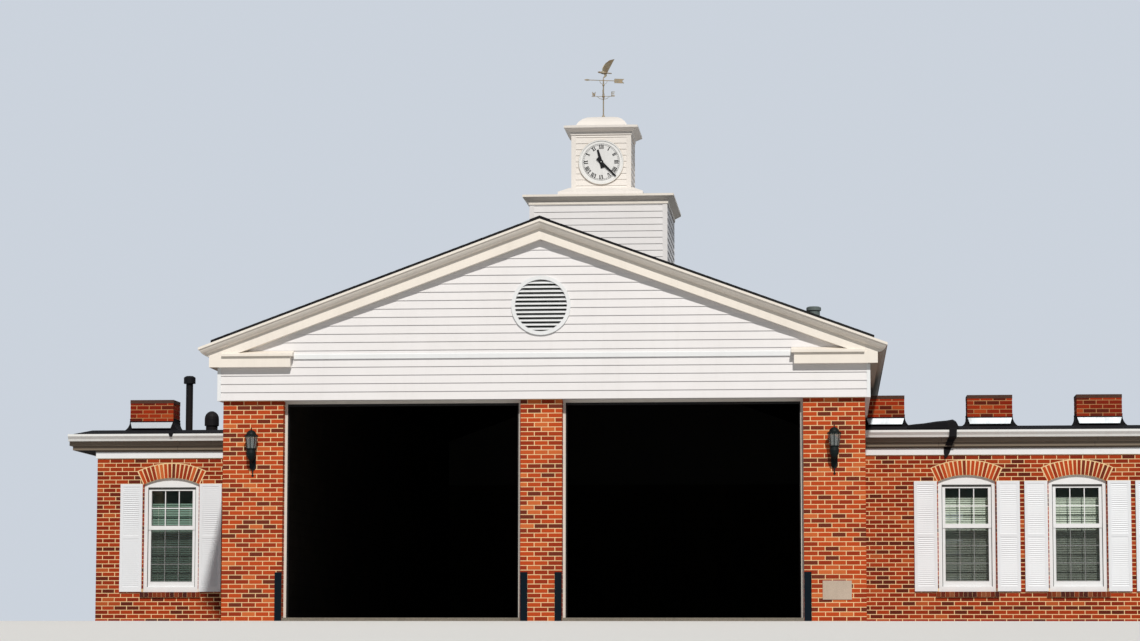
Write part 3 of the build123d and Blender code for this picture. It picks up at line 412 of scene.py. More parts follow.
def masonry_finish(mortar, wall):
    """Mortar bed on the outside of the walls, and dark block on the inside of the bay, whose darkness is painted
    shadow of the unlit room.
    """
    tree, surface = new_finish("mortar_and_inner_shadow")
    x, y, z = axes_of(tree)
    flat = add_node(tree, "ShaderNodeCombineXYZ", X=maths(tree, "ADD", x, y), Y=z)
    block = add_node(tree, "ShaderNodeTexBrick", Vector=flat.outputs[0], Color1=wall, Color2=[c * 0.85 for c in wall],
                     Mortar=[c * 0.5 for c in wall], Scale=1.0, Brick_Width=0.4064, Row_Height=0.2032,
                     Mortar_Size=0.005)
    # Inside the bay the block's dark colour is painted shadow.
    shade = blend_colour(tree, inside_bay(tree, x, y, z), mortar, block.outputs["Color"])
    weather(tree, surface, shade, (0.2, 0.14, 0.09), clouds=0.2, streaks=0.16, grain=0.4, gloss=0.85,
            grain_scale=420.0, specular=0.15, bump=0.0015, strength=0.8)


def shingle_finish(shade):
    """Black mineral shingles, each tab a little different."""
    tree, surface = new_finish("mineral_shingle")
    tones = ramp(tree, tone_of(tree), [(0.0, [c * 0.6 for c in shade]), (1.0, [c * 1.7 for c in shade])])
    grit = group_in(tree, "Mineral grit", Color=tones, Scale=260.0, Contrast=1.1)
    weather(tree, surface, grit["Color"], (0.09, 0.09, 0.085), clouds=0.25, grain=0.2, gloss=0.88, specular=0.2,
            height=grit["Height"], bump=0.002, strength=0.8)


def stone_finish(name, shade, dirt, scale, contrast, gloss):
    """Stone or concrete with fine aggregate and rain marks."""
    tree, surface = new_finish(name)
    grit = group_in(tree, "Mineral grit", Color=shade, Scale=scale, Contrast=contrast)
    weather(tree, surface, grit["Color"], dirt, clouds=0.35, streaks=0.2, grain=0.3, gloss=gloss, specular=0.25,
            height=grit["Height"], bump=0.001)


def screen_finish():
    """Dark insect screen: a fine woven mesh that lets about half of what is behind it through."""
    tree, surface = new_finish("insect_screen", see_through=True)
    thread_pitch = 0.0018
    x, y, z = axes_of(tree)
    sag = noise_of(tree, place_of(tree), 7.0, 2.0)
    threads = []
    for along in (maths(tree, "ADD", x, y), z):
        wave = maths(tree, "SINE", maths(tree, "MULTIPLY", along, 2 * math.pi / thread_pitch))
        threads.append(maths(tree, "ABSOLUTE", wave))
    weave = maths(tree, "MULTIPLY", maths(tree, "MINIMUM", *threads), 0.2)
    closed = maths(tree, "ADD", maths(tree, "MULTIPLY", sag, 0.1), 0.34)
    feed(surface, Base_Color=blend_colour(tree, sag, (0.02, 0.024, 0.022), (0.05, 0.055, 0.05)),
         Alpha=maths(tree, "SUBTRACT", closed, weave), Roughness=0.6, Specular_IOR_Level=0.2)


def pane_finish(name, tint, alpha):
    """Clear glass with a faint dusty film."""
    tree, surface = new_finish(name, see_through=True)
    haze = maths(tree, "MULTIPLY", noise_of(tree, place_of(tree), 5.0, 4.0), 0.1)
    feed(surface, Base_Color=tint, Roughness=maths(tree, "ADD", haze, 0.02), Alpha=maths(tree, "ADD", haze, alpha))


def dial_finish():
    """White enamel with two thin grey rings that paint shadow lines on the rim, and a thin tan edge, by distance from
    the dial's middle.
    """
    tree, surface = new_finish("dial_enamel")
    flat = add_node(tree, "ShaderNodeMapping", Vector=place_of(tree), Location=(0.0, 0.0, -DIAL_Z),
                    Scale=(1.0, 0.0, 1.0))
    reach = add_node(tree, "ShaderNodeVectorMath", {"operation": "LENGTH"}, input_0=flat.outputs[0])
    share = maths(tree, "DIVIDE", reach.outputs["Value"], DIAL_RADIUS)
    rings = ramp(tree, share, [(0.0, (0.74, 0.74, 0.735)), (0.815, (0.5, 0.505, 0.5)), (0.825, (0.8, 0.8, 0.79)),
                               (0.935, (0.6, 0.6, 0.58)), (0.945, (0.8, 0.795, 0.78)), (0.985, (0.5, 0.44, 0.36))],
                 constant=True)
    weather(tree, surface, rings, (0.3, 0.26, 0.2), streaks=0.12, gloss=0.3, bump=0.0003)


def bronze_finish(bronze, verdigris):
    """Weathered bronze with verdigris in the hollows of its cast face."""
    tree, surface = new_finish("weathered_bronze")
    crust = above(tree, noise_of(tree, place_of(tree), 14.0, 6.0, 0.7), 0.44, 5.0)
    weather(tree, surface, blend_colour(tree, crust, bronze, verdigris), (0.03, 0.03, 0.025), clouds=0.3,
            streaks=0.0, grain=0.3, gloss=0.42, metallic=maths(tree, "SUBTRACT", 0.75, crust, True), bump=0.001,
            strength=0.6)


def make_finishes(colours):
    """All the materials, made once and found again by name."""
    weather_group()
    grit_group()
    for name, gain, soot in (
            ("fired_brick", (1, 1, 1), 0.12), ("wing_brick", (0.72, 0.62, 0.58), 0.12),
            ("stack_brick", (0.68, 0.42, 0.3), 0.3), ("sill_brick", (0.4, 0.55, 0.9), 0.3)):
        brick_finish(colours, name, gain, soot)
    masonry_finish(colours.mortar, colours.inner_wall_shadow)
    shingle_finish(colours.shingle)

    # Each stone: shade, dirt, the grit's scale and contrast, gloss
    for row in (
            ("trowelled_concrete", colours.concrete, (0.07, 0.06, 0.05), 90.0, 0.4, 0.85),
            ("stack_cap", (0.075, 0.035, 0.023), (0.04, 0.022, 0.016), 120.0, 0.5, 0.85),
            ("pale_date_stone", colours.stone, (0.2, 0.15, 0.1), 240.0, 0.2, 0.6)):
        stone_finish(*row)

    # Each paint: shade, dirt, clouds, streaks, grain, gloss and, where it isn't 0.35, specular
    for row in (
            ("siding_paint", colours.siding, PAINT_DIRT, 0.07, 0.05, 0.04, 0.5),
            ("trim_paint", colours.trim, PAINT_DIRT, 0.06, 0.06, 0.04, 0.42),
            ("tower_paint", (0.785, 0.74, 0.695), PAINT_DIRT, 0.07, 0.06, 0.04, 0.5),
            ("shutter_paint", (0.76, 0.785, 0.82), PAINT_DIRT, 0.05, 0.05, 0.03, 0.45),
            ("gutter_enamel", (0.82, 0.83, 0.82), PAINT_DIRT, 0.08, 0.12, 0.03, 0.35),
            ("stack_mortar", (0.5, 0.25, 0.11), (0.1, 0.04, 0.02), 0.35, 0.3, 0.4, 0.85, 0.15),
            ("soot_mortar", (0.16, 0.07, 0.045), (0.05, 0.035, 0.03), 0.4, 0.3, 0.4, 0.85, 0.15),
            ("lantern_paint", colours.iron, (0.04, 0.05, 0.05), 0.2, 0.1, 0.1, 0.5, 0.12),
            ("blue_black_guard", colours.guard, (0.03, 0.028, 0.026), 0.12, 0.15, 0.1, 0.6, 0.05),
            ("stove_black", (0.007, 0.007, 0.009), (0.05, 0.03, 0.018), 0.2, 0.25, 0.1, 0.55, 0.12),
            ("flue_paint", (0.12, 0.15, 0.145), (0.08, 0.06, 0.05), 0.3, 0.3, 0.1, 0.55),
            ("black_hand_paint", (0.008, 0.008, 0.009), (0.04, 0.04, 0.04), 0.1, 0.0, 0.1, 0.5, 0.15),
            # The vents' mesh is near black: a screen whose colour also paints the shadow deep in the vent.
            ("vent_mesh", (0.012, 0.02, 0.012), (0.04, 0.04, 0.03), 0.3, 0.2, 0.4, 0.8, 0.1),
            ("blind_slat", (0.76, 0.88, 0.74), (0.3, 0.36, 0.3), 0.15, 0.05, 0.05, 0.5),
            # The next row is a darker copy of the blinds' slats: painted shadow.
            ("shaded_blind_slat", (0.27, 0.43, 0.34), (0.12, 0.17, 0.13), 0.15, 0.05, 0.05, 0.5),
            # The next row's near black, on strips round the sashes, is painted shadow.
            ("painted_sash_shadow", (0.045, 0.045, 0.043), (0.1, 0.09, 0.075), 0.2, 0.2, 0.1, 0.5, 0.15)):
        painted(*row)
    painted("lead_flashing", (0.38, 0.42, 0.45), (0.25, 0.24, 0.23), 0.25, 0.3, 0.12, 0.42, metallic=0.3)
    painted("roofing_felt", colours.membrane, (0.04, 0.038, 0.036), 0.25, 0.15, 0.4, 0.8, 0.08, bump=0.002)

    # On the bay's inside the gables take the dark inner-wall colour: painted shadow.
    masked_paint("gable_wall_paint", inside_bay, colours.siding, colours.inner_wall_shadow, clouds=0.07, streaks=0.05,
                 grain=0.04, gloss=0.55)
    # The dark brown on the eaves along the bay's sides is painted shadow.
    masked_paint("cornice_paint", side_eaves_shadow, colours.cream, (0.26, 0.21, 0.16), grain=0.04, specular=0.35)
    # The black on the inner part of the door frames is painted shadow.
    masked_paint("door_frame_paint", door_frame_shadow, (0.7, 0.66, 0.6), (0.008, 0.008, 0.009), dirt=(0.1, 0.08, 0.06),
                 streaks=0.12, gloss=0.55, specular=0.2)
    # The dark green-black deep in the vents is painted shadow.
    masked_paint("vent_paint", vent_depth_shadow, colours.trim, (0.012, 0.018, 0.012), clouds=0.12, streaks=0.12,
                 bump=0.0005)
    # The dark brown-grey of the wing cornice's upper boards is painted shadow under the gutter.
    wing_cornice_finish(colours.trim, (0.17, 0.13, 0.09))
    screen_finish()
    pane_finish("window_glass", (0.01, 0.026, 0.02), 0.09)
    pane_finish("lantern_glass", (0.3, 0.34, 0.34), 0.3)
    dial_finish()
    bronze_finish(colours.bronze, colours.verdigris)


NODE_FINISHES = {
    "mortar_and_inner_shadow": [
        "left_pier", "centre_pier", "right_pier", "bay_left_wall", "bay_right_wall", "bay_back_wall",
        "left_wing_front_wall", "left_wing_end_wall", "left_wing_back_wall", "right_wing_front_wall",
        "right_wing_end_wall", "right_wing_back_wall", "window_sills", "window_arches"],
    "stack_mortar": ["chimneys"],
    "stack_cap": ["chimney_caps"],
    "trowelled_concrete": ["floor_slab"],
    "gable_wall_paint": ["front_gable_wall", "back_gable_wall", "side_bands"],
    "siding_paint": ["cupola_base"],
    "tower_paint": ["clock_tower", "tower_plinth", "tower_cornice", "tower_roof"],
    "door_frame_paint": ["door_frames"],
    "vent_paint": ["gable_vents"],
    "wing_cornice_paint": ["wing_cornices"],
    "trim_paint": ["belt_mouldings", "window_frames"],
    "cornice_paint": ["rake_cornices", "eave_cornices", "cupola_cornice"],
    "mineral_shingle": ["roof_left_slope", "roof_right_slope"],
    "roofing_felt": ["left_wing_roof", "right_wing_roof", "chimney_curbs"],
    "window_glass": ["window_glass"],
    "lantern_glass": ["lantern_glass"],
    "shutter_paint": ["shutters"],
    "gutter_enamel": ["wing_gutters"],
    "lead_flashing": ["chimney_flashings"],
    "lantern_paint": ["lanterns"],
    "blue_black_guard": ["corner_guards"],
    "pale_date_stone": ["date_stone"],
    "stove_black": ["flue_pipe", "vent_hood"],
    "flue_paint": ["roof_flue"],
    "dial_enamel": ["clock_dial"],
    "black_hand_paint": ["minute_hand", "hour_hand"],
    "weathered_bronze": ["vane_mast", "weather_vane"],
}


# Blocks on points: bricks, boards, tabs, slats and bars

class Blocks:
    """Places, sizes and turns of a piece's blocks. A block's own -Y faces out and X runs along."""

    def __init__(self):
        self.at, self.size, self.turn = [], [], []

    def add(self, at, size, turn=(0, 0, 0)):
        self.at.append(tuple(at))
        self.size.append(tuple(size))
        self.turn.append(tuple(turn))


def stored(tree, name, kind="FLOAT_VECTOR"):
    return add_node(tree, "GeometryNodeInputNamedAttribute", {"data_type": kind}, Name=name).outputs[0]


def store_tone(tree, domain, geometry, value):
    return add_node(tree, "GeometryNodeStoreNamedAttribute", {"data_type": "FLOAT", "domain": domain},
                    Geometry=geometry, Name="tone", Value=value).outputs[0]


def blocks_tree():
    """Stands a block on every point, sized and turned by the point, with a tone of its own."""
    tree = bpy.data.node_groups.new("Blocks on points", "GeometryNodeTree")
    given = sockets(tree, [
        ("Geometry", "INPUT", "Geometry", None), ("Taper", "INPUT", "Float", 0.0), ("Seed", "INPUT", "Int", 1),
        ("Finish", "INPUT", "Material", None), ("Geometry", "OUTPUT", "Geometry", None),
    ])
    cube = add_node(tree, "GeometryNodeMeshCube")
    axis = add_node(tree, "ShaderNodeSeparateXYZ", Vector=tree.nodes.new("GeometryNodeInputPosition").outputs[0])
    high = add_node(tree, "FunctionNodeCompare", {"operation": "GREATER_THAN"}, input_0=axis.outputs[2])
    outer = add_node(tree, "FunctionNodeCompare", {"operation": "LESS_THAN"}, input_0=axis.outputs[1])
    lip = add_node(tree, "FunctionNodeBooleanMath", input_0=high.outputs[0], input_1=outer.outputs[0])
    back = add_node(tree, "ShaderNodeCombineXYZ", Y=given["Taper"])
    block = add_node(tree, "GeometryNodeSetPosition", Geometry=cube.outputs["Mesh"], Selection=lip.outputs[0],
                     Offset=back.outputs[0])
    rotation = add_node(tree, "FunctionNodeEulerToRotation", Euler=stored(tree, "turn"))
    stand = add_node(tree, "GeometryNodeInstanceOnPoints", Points=given["Geometry"], Instance=block.outputs[0],
                     Rotation=rotation.outputs[0], Scale=stored(tree, "size"))
    chance = add_node(tree, "FunctionNodeRandomValue", {"data_type": "FLOAT"}, Seed=given["Seed"])
    toned = store_tone(tree, "INSTANCE", stand.outputs[0], chance.outputs[1])
    real = add_node(tree, "GeometryNodeRealizeInstances", Geometry=toned)
    faces = store_tone(tree, "FACE", real.outputs[0], stored(tree, "tone", "FLOAT"))
    finish = add_node(tree, "GeometryNodeSetMaterial", Geometry=faces, Material=given["Finish"])
    add_node(tree, "NodeGroupOutput", Geometry=finish.outputs[0])
    return tree


def identifier(tree, name):
    """A tree input's identifier, by which a modifier's value is set."""
    for item in tree.interface.items_tree:
        if item.name == name and item.in_out == "INPUT":
            return item.identifier
    raise RuntimeError(f"the node tree {tree.name} has no input {name}")


def link(name, data):
    piece = bpy.data.objects.new(name, data)
    bpy.context.collection.objects.link(piece)
    return piece


def make_plain(piece):
    """Leaves a piece as the plain mesh that its modifiers make."""
    graph = bpy.context.evaluated_depsgraph_get()
    made = piece.evaluated_get(graph)
    shaped = bpy.data.meshes.new_from_object(made, preserve_all_data_layers=True, depsgraph=graph)
    piece.modifiers.clear()
    piece.data = shaped
    if not len(shaped.polygons):
        raise RuntimeError(f"nothing is left of {piece.name}")


def lay(name, blocks, finish, body="building", taper=0.0, seed=1):
    """Makes one plain mesh piece out of blocks and hangs it on its body."""
    tree = bpy.data.node_groups.get("Blocks on points") or blocks_tree()
    points = bpy.data.meshes.new(name + "_points")
    points.from_pydata(blocks.at, [], [])
    for key, values in (("size", blocks.size), ("turn", blocks.turn)):
        store = points.attributes.new(key, "FLOAT_VECTOR", "POINT")
        store.data.foreach_set("vector", [number for row in values for number in row])
    piece = link(name, points)
    modifier = piece.modifiers.new("Blocks", "NODES")
    modifier.node_group = tree
    modifier[identifier(tree, "Taper")] = taper
    modifier[identifier(tree, "Seed")] = seed
    modifier[identifier(tree, "Finish")] = bpy.data.materials[finish]
    make_plain(piece)
    piece.data.name = name
    for key in ("size", "turn"):
        if key in piece.data.attributes:
            piece.data.attributes.remove(piece.data.attributes[key])
    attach(piece, body)
    return piece


def solid_of(name, stacks):
    """A loose object in which each stack of rings is skinned from ring to ring and closed at both ends."""
    points, faces = [], []
    for rings in stacks:
        count, first, last = len(rings[0]), len(points), len(points) + len(rings[0]) * (len(rings) - 1)
        points += [point for ring in rings for point in ring]
        for low in range(first, last, count):
            for i in range(count):
                j = (i + 1) % count
                faces.append([low + i, low + j, low + count + j, low + count + i])
        faces.append([first + i for i in range(count)])
        faces.append([last + i for i in range(count)])
    mesh = bpy.data.meshes.new(name)
    mesh.from_pydata(points, [], faces)
    shape = bmesh.new()
    shape.from_mesh(mesh)
    bmesh.ops.recalc_face_normals(shape, faces=shape.faces)
    shape.to_mesh(mesh)
    shape.free()
    return link(name, mesh)


def cut_out(piece, cutter):
    """Takes the cutter's shape out of a piece, which stays a plain mesh on its body."""
    modifier = piece.modifiers.new("Opening", "BOOLEAN")
    modifier.operation = "DIFFERENCE"
    modifier.solver = "EXACT"
    modifier.object = cutter
    make_plain(piece)
    bpy.data.objects.remove(cutter)


def circle(radius, count):
    """Points round a circle, as pairs."""
    angles = [2 * math.pi * i / count for i in range(count)]
    return [(radius * math.cos(angle), radius * math.sin(angle)) for angle in angles]


class Wall:
    """An upright plane: a start, a direction along it, and the turn that brings a block's -Y to face out of it."""

    def __init__(self, x, y, turn, span=0.0):
        self.origin = Vector((x, y, 0))
        self.turn = math.radians(turn)
        self.along = Matrix.Rotation(self.turn, 3, "Z") @ Vector((1, 0, 0))
        self.inward = Matrix.Rotation(self.turn, 3, "Z") @ Vector((0, 1, 0))
        self.span = span

    def place(self, u, depth, z):
        return self.origin + self.along * u + self.inward * depth + Vector((0, 0, z))

    def block(self, blocks, u0, u1, outer, inner, z0, z1, tilt=0.0):
        """A block from u0 to u1 along the wall, from outer to inner in depth (outwards is negative)."""
        blocks.add(self.place((u0 + u1) / 2, (outer + inner) / 2, (z0 + z1) / 2),
                   (u1 - u0, inner - outer, z1 - z0), (tilt, 0, self.turn))

    def lean(self, angle):
        """Euler turn of a block that leans in the wall's plane."""
        return (Matrix.Rotation(self.turn, 3, "Z") @ Matrix.Rotation(angle, 3, "Y")).to_euler()


# Brickwork

def window_gap(z0, z1):
    """Half width of what a window takes out of the brickwork between two heights, and whether it has a reveal."""
    half, reveal, tolerance = 0.0, False, 0.004
    if z1 > SILL_BOTTOM + tolerance and z0 < WINDOW_BOTTOM:
        half = SILL_HALF
    if z1 > WINDOW_BOTTOM + tolerance and z0 < SPRING_Z:
        half, reveal = max(half, WINDOW_HALF), half == 0.0
    return half, reveal


def spans_of(wall, z0, z1, gaps):
    """Stretches of a course between the openings: (from, to, reveal at from, reveal at to)."""
    cuts = []
    for centre, gap in gaps:
        half, reveal = gap(z0, z1)
        if half > 0:
            cuts.append((centre - half, centre + half, reveal))
    at, before, shortest = 0.0, False, 0.02
    stretches = []
    for low, high, reveal in sorted(cuts):
        stretches.append((at, low, before, reveal))
        at, before = high, reveal
    stretches.append((at, wall.span, before, False))
    return [stretch for stretch in stretches if stretch[1] - stretch[0] > shortest]


def course_bricks(start, end, offset, sizes):
    """The bricks of one stretch of a course, as [from, to], with no sliver at its ends."""
    pitch, joint, shortest = sizes.brick_pitch, sizes.joint, 0.035
    j = math.floor((start - offset) / pitch)
    row = []
    while offset + j * pitch < end:
        a = max(offset + j * pitch + joint / 2, start)
        b = min(offset + (j + 1) * pitch - joint / 2, end)
        if b - a > shortest:
            row.append([a, b])
        j += 1
    row = row or [[start, end]]
    row[0][0], row[-1][1] = start, end
    return row


def brick_wall(blocks, wall, z1, sizes, gaps=(), ends=(0, 0), z0=0.0, shoulders=None):
    """Running bond over a wall, cut at its openings; ends add to the bricks at its two ends.

    Bricks beside an arch go to shoulders, which are cut to the arch's round afterwards.
    """
    lip, thinnest = 0.003, 0.02
    for k in range(round(z0 / sizes.course), math.ceil(z1 / sizes.course)):
        low = k * sizes.course + sizes.joint / 2
        high = min(low + sizes.course - sizes.joint, z1)
        if high - low < thinnest:
            continue
        offset = sizes.brick_pitch / 2 if k % 2 else 0
        for start, end, deep_start, deep_end in spans_of(wall, low, high, gaps):
            row = course_bricks(start, end, offset, sizes)
            for i, (a, b) in enumerate(row):
                depth = 0.0
                if deep_start and i == 0:
                    a, depth = a - lip, REVEAL
                if deep_end and i == len(row) - 1:
                    b, depth = b + lip, REVEAL
                a -= ends[0] if a <= 0 else 0
                b += ends[1] if b >= wall.span else 0
                beside = SPRING_Z < low < ARCH_TOP and any(abs((a + b) / 2 - c) < ARCH_BESIDE for c, gap in gaps)
                wall.block(shoulders if shoulders and beside else blocks, a, b, -sizes.brick_proud, depth, low, high)


class LayBrickwork(bpy.types.Operator):
    """Lay the running bond of the bay, the wings and the stacks on their roofs, brick by brick"""
    bl_idname = "firestation.brickwork"
    bl_label = "Brickwork"

    def execute(self, context):
        sizes = context.scene.fire_station_sizes
        self.lay_bay(sizes)
        self.lay_wings(sizes)
        self.lay_stacks(sizes)
        return {"FINISHED"}

    def lay_bay(self, sizes):
        """The three piers, the doors' reveals, the sides down to the wings' roofs and the back."""
        bay, both = Blocks(), (sizes.brick_proud, sizes.brick_proud)
        for start, end in ((-BAY_HALF, -DOOR_OUTER), (-DOOR_INNER, DOOR_INNER), (DOOR_OUTER, BAY_HALF)):
            brick_wall(bay, Wall(start, BAY_FRONT, 0, end - start), BRICK_TOP, sizes, ends=both)
        for x, turn in ((-DOOR_OUTER, 90), (-DOOR_INNER, -90), (DOOR_INNER, 90), (DOOR_OUTER, -90)):
            y = BAY_FRONT if turn > 0 else BAY_FRONT + DOOR_REVEAL
            brick_wall(bay, Wall(x, y, turn, DOOR_REVEAL), BRICK_TOP, sizes)
        depth, wing_half = BAY_BACK - BAY_FRONT, (WING_BACK - WING_FRONT) / 2

        def wing_gap(low, high):
            return (wing_half, False) if low < WING_ROOF - 0.02 else (0.0, False)

        middle = WING_FRONT - BAY_FRONT + wing_half
        brick_wall(bay, Wall(BAY_HALF, BAY_FRONT, 90, depth), BRICK_TOP, sizes, [(middle, wing_gap)])
        brick_wall(bay, Wall(-BAY_HALF, BAY_BACK, -90, depth), BRICK_TOP, sizes, [(depth - middle, wing_gap)])
        brick_wall(bay, Wall(BAY_HALF, BAY_BACK, 180, 2 * BAY_HALF), BRICK_TOP, sizes, ends=both)
        lay("bay_brickwork", bay, "fired_brick", seed=3)

    def lay_wings(self, sizes):
        """The wings' fronts, backs and ends, with the bricks beside the arches cut round them."""
        wings, shoulders, top, proud = Blocks(), Blocks(), WING_TOP - FRIEZE, sizes.brick_proud
        for x0, x1 in ((BAY_HALF, RIGHT_END), (LEFT_END, -BAY_HALF)):
            outer = (0, proud) if x0 > 0 else (proud, 0)
            for start, y, turn, ends in ((x0, WING_FRONT, 0, outer), (x1, WING_BACK, 180, outer[::-1])):
                gaps = [(abs(x - start), window_gap) for x, _, facing in WINDOWS if facing == turn and x0 < x < x1]
                brick_wall(wings, Wall(start, y, turn, x1 - x0), top, sizes, gaps, ends, shoulders=shoulders)
        for x, start, turn in ((RIGHT_END, WING_FRONT, 90), (LEFT_END, WING_BACK, -90)):
            gaps = [(abs(y - start), window_gap) for _, y, facing in WINDOWS if facing == turn]
            brick_wall(wings, Wall(x, start, turn, WING_BACK - WING_FRONT), top, sizes, gaps, shoulders=shoulders)
        lay("wing_brickwork", wings, "wing_brick", seed=5)
        cut_out(lay("arch_shoulder_bricks", shoulders, "wing_brick", seed=9), arch_cutter(sizes))

    def lay_stacks(self, sizes):
        stacks, deep, proud = Blocks(), CHIMNEY_DEPTH / 2, sizes.brick_proud
        for x, across in CHIMNEYS:
            for side_x, side_y, turn, span, grow in (
                    (-across / 2, -deep, 0, across, proud), (across / 2, deep, 180, across, proud),
                    (across / 2, -deep, 90, CHIMNEY_DEPTH, 0), (-across / 2, deep, -90, CHIMNEY_DEPTH, 0)):
                brick_wall(stacks, Wall(x + side_x, CHIMNEY_Y + side_y, turn, span), WING_ROOF + CHIMNEY_HEIGHT,
                           sizes, ends=(grow, grow), z0=WING_ROOF + CURB_TOP)
        lay("chimney_brickwork", stacks, "stack_brick", seed=7)


def arch_cutter(sizes):
    """Prisms of the window arches' outlines, a joint larger, that the bricks beside them are cut to."""
    angle, outer, steps, reach = ARCH_ANGLE + 0.008, ARCH_RADIUS + ARCH_RING + sizes.joint, 24, 0.05

    def on_arc(radius, lean):
        return radius * math.sin(lean), ARCH_CENTRE + radius * math.cos(lean)

    profile = [on_arc(outer, angle * (2 * i / steps - 1)) for i in range(steps + 1)]
    profile = [on_arc(ARCH_RADIUS, -angle)] + profile + [on_arc(ARCH_RADIUS, angle)]
    walls = [Wall(x, y, turn) for x, y, turn in WINDOWS]
    return solid_of("arch_cutter", [
        [[wall.place(u, depth, z) for u, z in profile] for depth in (-reach, reach)] for wall in walls])


class LayArchesAndSills(bpy.types.Operator):
    """Set the fanned bricks of the window arches and the bricks on edge of the sills"""
    bl_idname = "firestation.arches_and_sills"
    bl_label = "Arches and sills"

    def execute(self, context):
        sizes = context.scene.fire_station_sizes
        proud = sizes.brick_proud + 0.001
        arches, sills = Blocks(), Blocks()
        step = 2 * ARCH_ANGLE / sizes.arch_bricks
        middle = ARCH_RADIUS + ARCH_RING / 2
        thick = middle * step - 1.45 * sizes.joint
        pitch, gap, overlap = 2 * SILL_HALF / SILL_BRICKS, sizes.joint / 8, 0.003
        for x, y, turn in WINDOWS:
            wall = Wall(x, y, turn)
            for i in range(sizes.arch_bricks):
                lean = (i + 0.5) * step - ARCH_ANGLE
                at = wall.place(middle * math.sin(lean), (REVEAL - proud) / 2, ARCH_CENTRE + middle * math.cos(lean))
                arches.add(at, (thick, REVEAL + proud, ARCH_RING - sizes.joint / 2), wall.lean(lean))
            for i in range(SILL_BRICKS):
                u = i * pitch - SILL_HALF
                wall.block(sills, u + gap, u + pitch - gap, -SILL_REACH - overlap, REVEAL, SILL_BOTTOM - 0.002,
                           WINDOW_BOTTOM + overlap)
        lay("arch_bricks", arches, "fired_brick", seed=11)
        lay("sill_bricks", sills, "sill_brick", seed=13)
        return {"FINISHED"}


# Siding and roof

def lap_boards(blocks, wall, z0, z1, exposure, ends, lap, foot=0.0):
    """Boards up a wall from z0; ends(low, high) gives the stretches that each one covers."""
    gap, shortest, thinnest = 0.0004, 0.02, 0.01
    for i in range(math.ceil((z1 - z0) / exposure)):
        low = max(z0 + i * exposure, foot)
        high = min(z0 + (i + 1) * exposure - gap, z1)
        for a, b in ends(low, high):
            if b - a > shortest and high - low > thinnest:
                wall.block(blocks, a, b, -lap, 0.0, low, high)


class NailSiding(bpy.types.Operator):
    """Nail the lap boards of the gables, the side bands, the cupola and the clock tower"""
    bl_idname = "firestation.siding"
    bl_label = "Lap siding"

    board_taper = 0.72
    roof_skin = 0.032

    def execute(self, context):
        sizes = context.scene.fire_station_sizes
        self.board_gables(sizes)
        self.board_sides(sizes)
        self.board_cupola(sizes)
        return {"FINISHED"}

    def board_gables(self, sizes):
        peak = RIDGE - self.roof_skin - RAKE_DEPTH

        def ends(low, high):
            if low < EAVE_BOTTOM - 0.01:
                reach = SIDING_HALF - CORNER_CAP
            else:
                reach = min(BAY_HALF - 0.03, (peak - low) / ROOF_SLOPE + 0.06)
            return [(-reach, reach)]

        for name, y, turn in (("front_gable_boards", SIDING_FRONT, 0), ("back_gable_boards", -SIDING_FRONT, 180)):
            gable = Blocks()
            lap_boards(gable, Wall(0, y, turn), BRICK_TOP, peak, sizes.board_exposure, ends, sizes.board_lap)
            boards = lay(name, gable, "siding_paint", taper=self.board_taper)
            rings = [[(u, y + depth, VENT_Z + v) for u, v in circle(VENT_CUT, 48)] for depth in (-0.15, 0.15)]
            cut_out(boards, solid_of("vent_cutter", [rings]))

    def board_sides(self, sizes):
        """The bands beside the eaves, and the corner boards on all four corners."""
        bands, corners = Blocks(), Blocks()
        run, out, foot = 2 * abs(SIDING_FRONT), 0.022, BRICK_TOP - 0.004
        for x, y, turn in ((SIDING_HALF, SIDING_FRONT, 90), (-SIDING_HALF, -SIDING_FRONT, -90)):
            wall = Wall(x, y, turn)
            lap_boards(bands, wall, BRICK_TOP, EAVE_BOTTOM, sizes.board_exposure,
                       lambda low, high: [(CORNER_CAP, run - CORNER_CAP)], sizes.board_lap)
            for a, b in ((-out, CORNER_CAP), (run - CORNER_CAP, run + out)):
                wall.block(corners, a, b, -out, 0, foot, EAVE_BOTTOM)
        for y, turn in ((SIDING_FRONT, 0), (-SIDING_FRONT, 180)):
            for a, b in ((-SIDING_HALF, CORNER_CAP - SIDING_HALF), (SIDING_HALF - CORNER_CAP, SIDING_HALF)):
                Wall(0, y, turn).block(corners, a, b, -out, 0, foot, EAVE_BOTTOM)
        lay("side_band_boards", bands, "siding_paint", taper=self.board_taper)
        lay("corner_boards", corners, "trim_paint")

    def board_cupola(self, sizes):
        base, tower = Blocks(), Blocks()
        base_lap, tower_lap, overlap = 0.018, 0.016, 0.01
        rows, cornice_height, plinth_lap = 18, 0.312, 0.045
        base_foot = BASE_TOP - cornice_height - rows * sizes.cupola_exposure
        inner, tower_inner = BASE_HALF - CORNER_BOARD, TOWER_HALF - CORNER_BOARD
        for turn in (0, 90, 180, 270):

            def above_roof(low, high):
                gap = max(0.0, (RIDGE - high) / ROOF_SLOPE) if turn % 180 == 0 else 0.0
                return [(-inner, inner)] if gap == 0 else [(-inner, -gap), (gap, inner)]

            turned = Matrix.Rotation(math.radians(turn), 3, "Z")
            x, y, _ = turned @ Vector((0, CORNER_PROUD - BASE_HALF, 0))
            lap_boards(base, Wall(x, y, turn), base_foot, BASE_CROWN_FOOT + overlap, sizes.cupola_exposure,
                       above_roof, base_lap)
            x, y, _ = turned @ Vector((0, CORNER_PROUD - TOWER_HALF, 0))
            lap_boards(tower, Wall(x, y, turn), TOWER_FOOT + plinth_lap - sizes.tower_exposure,
                       TOWER_CROWN_FOOT + overlap, sizes.tower_exposure,
                       lambda low, high: [(-tower_inner, tower_inner)], tower_lap, TOWER_FOOT)
        lay("cupola_boards", base, "siding_paint", taper=self.board_taper)
        lay("tower_boards", tower, "tower_paint", taper=self.board_taper)


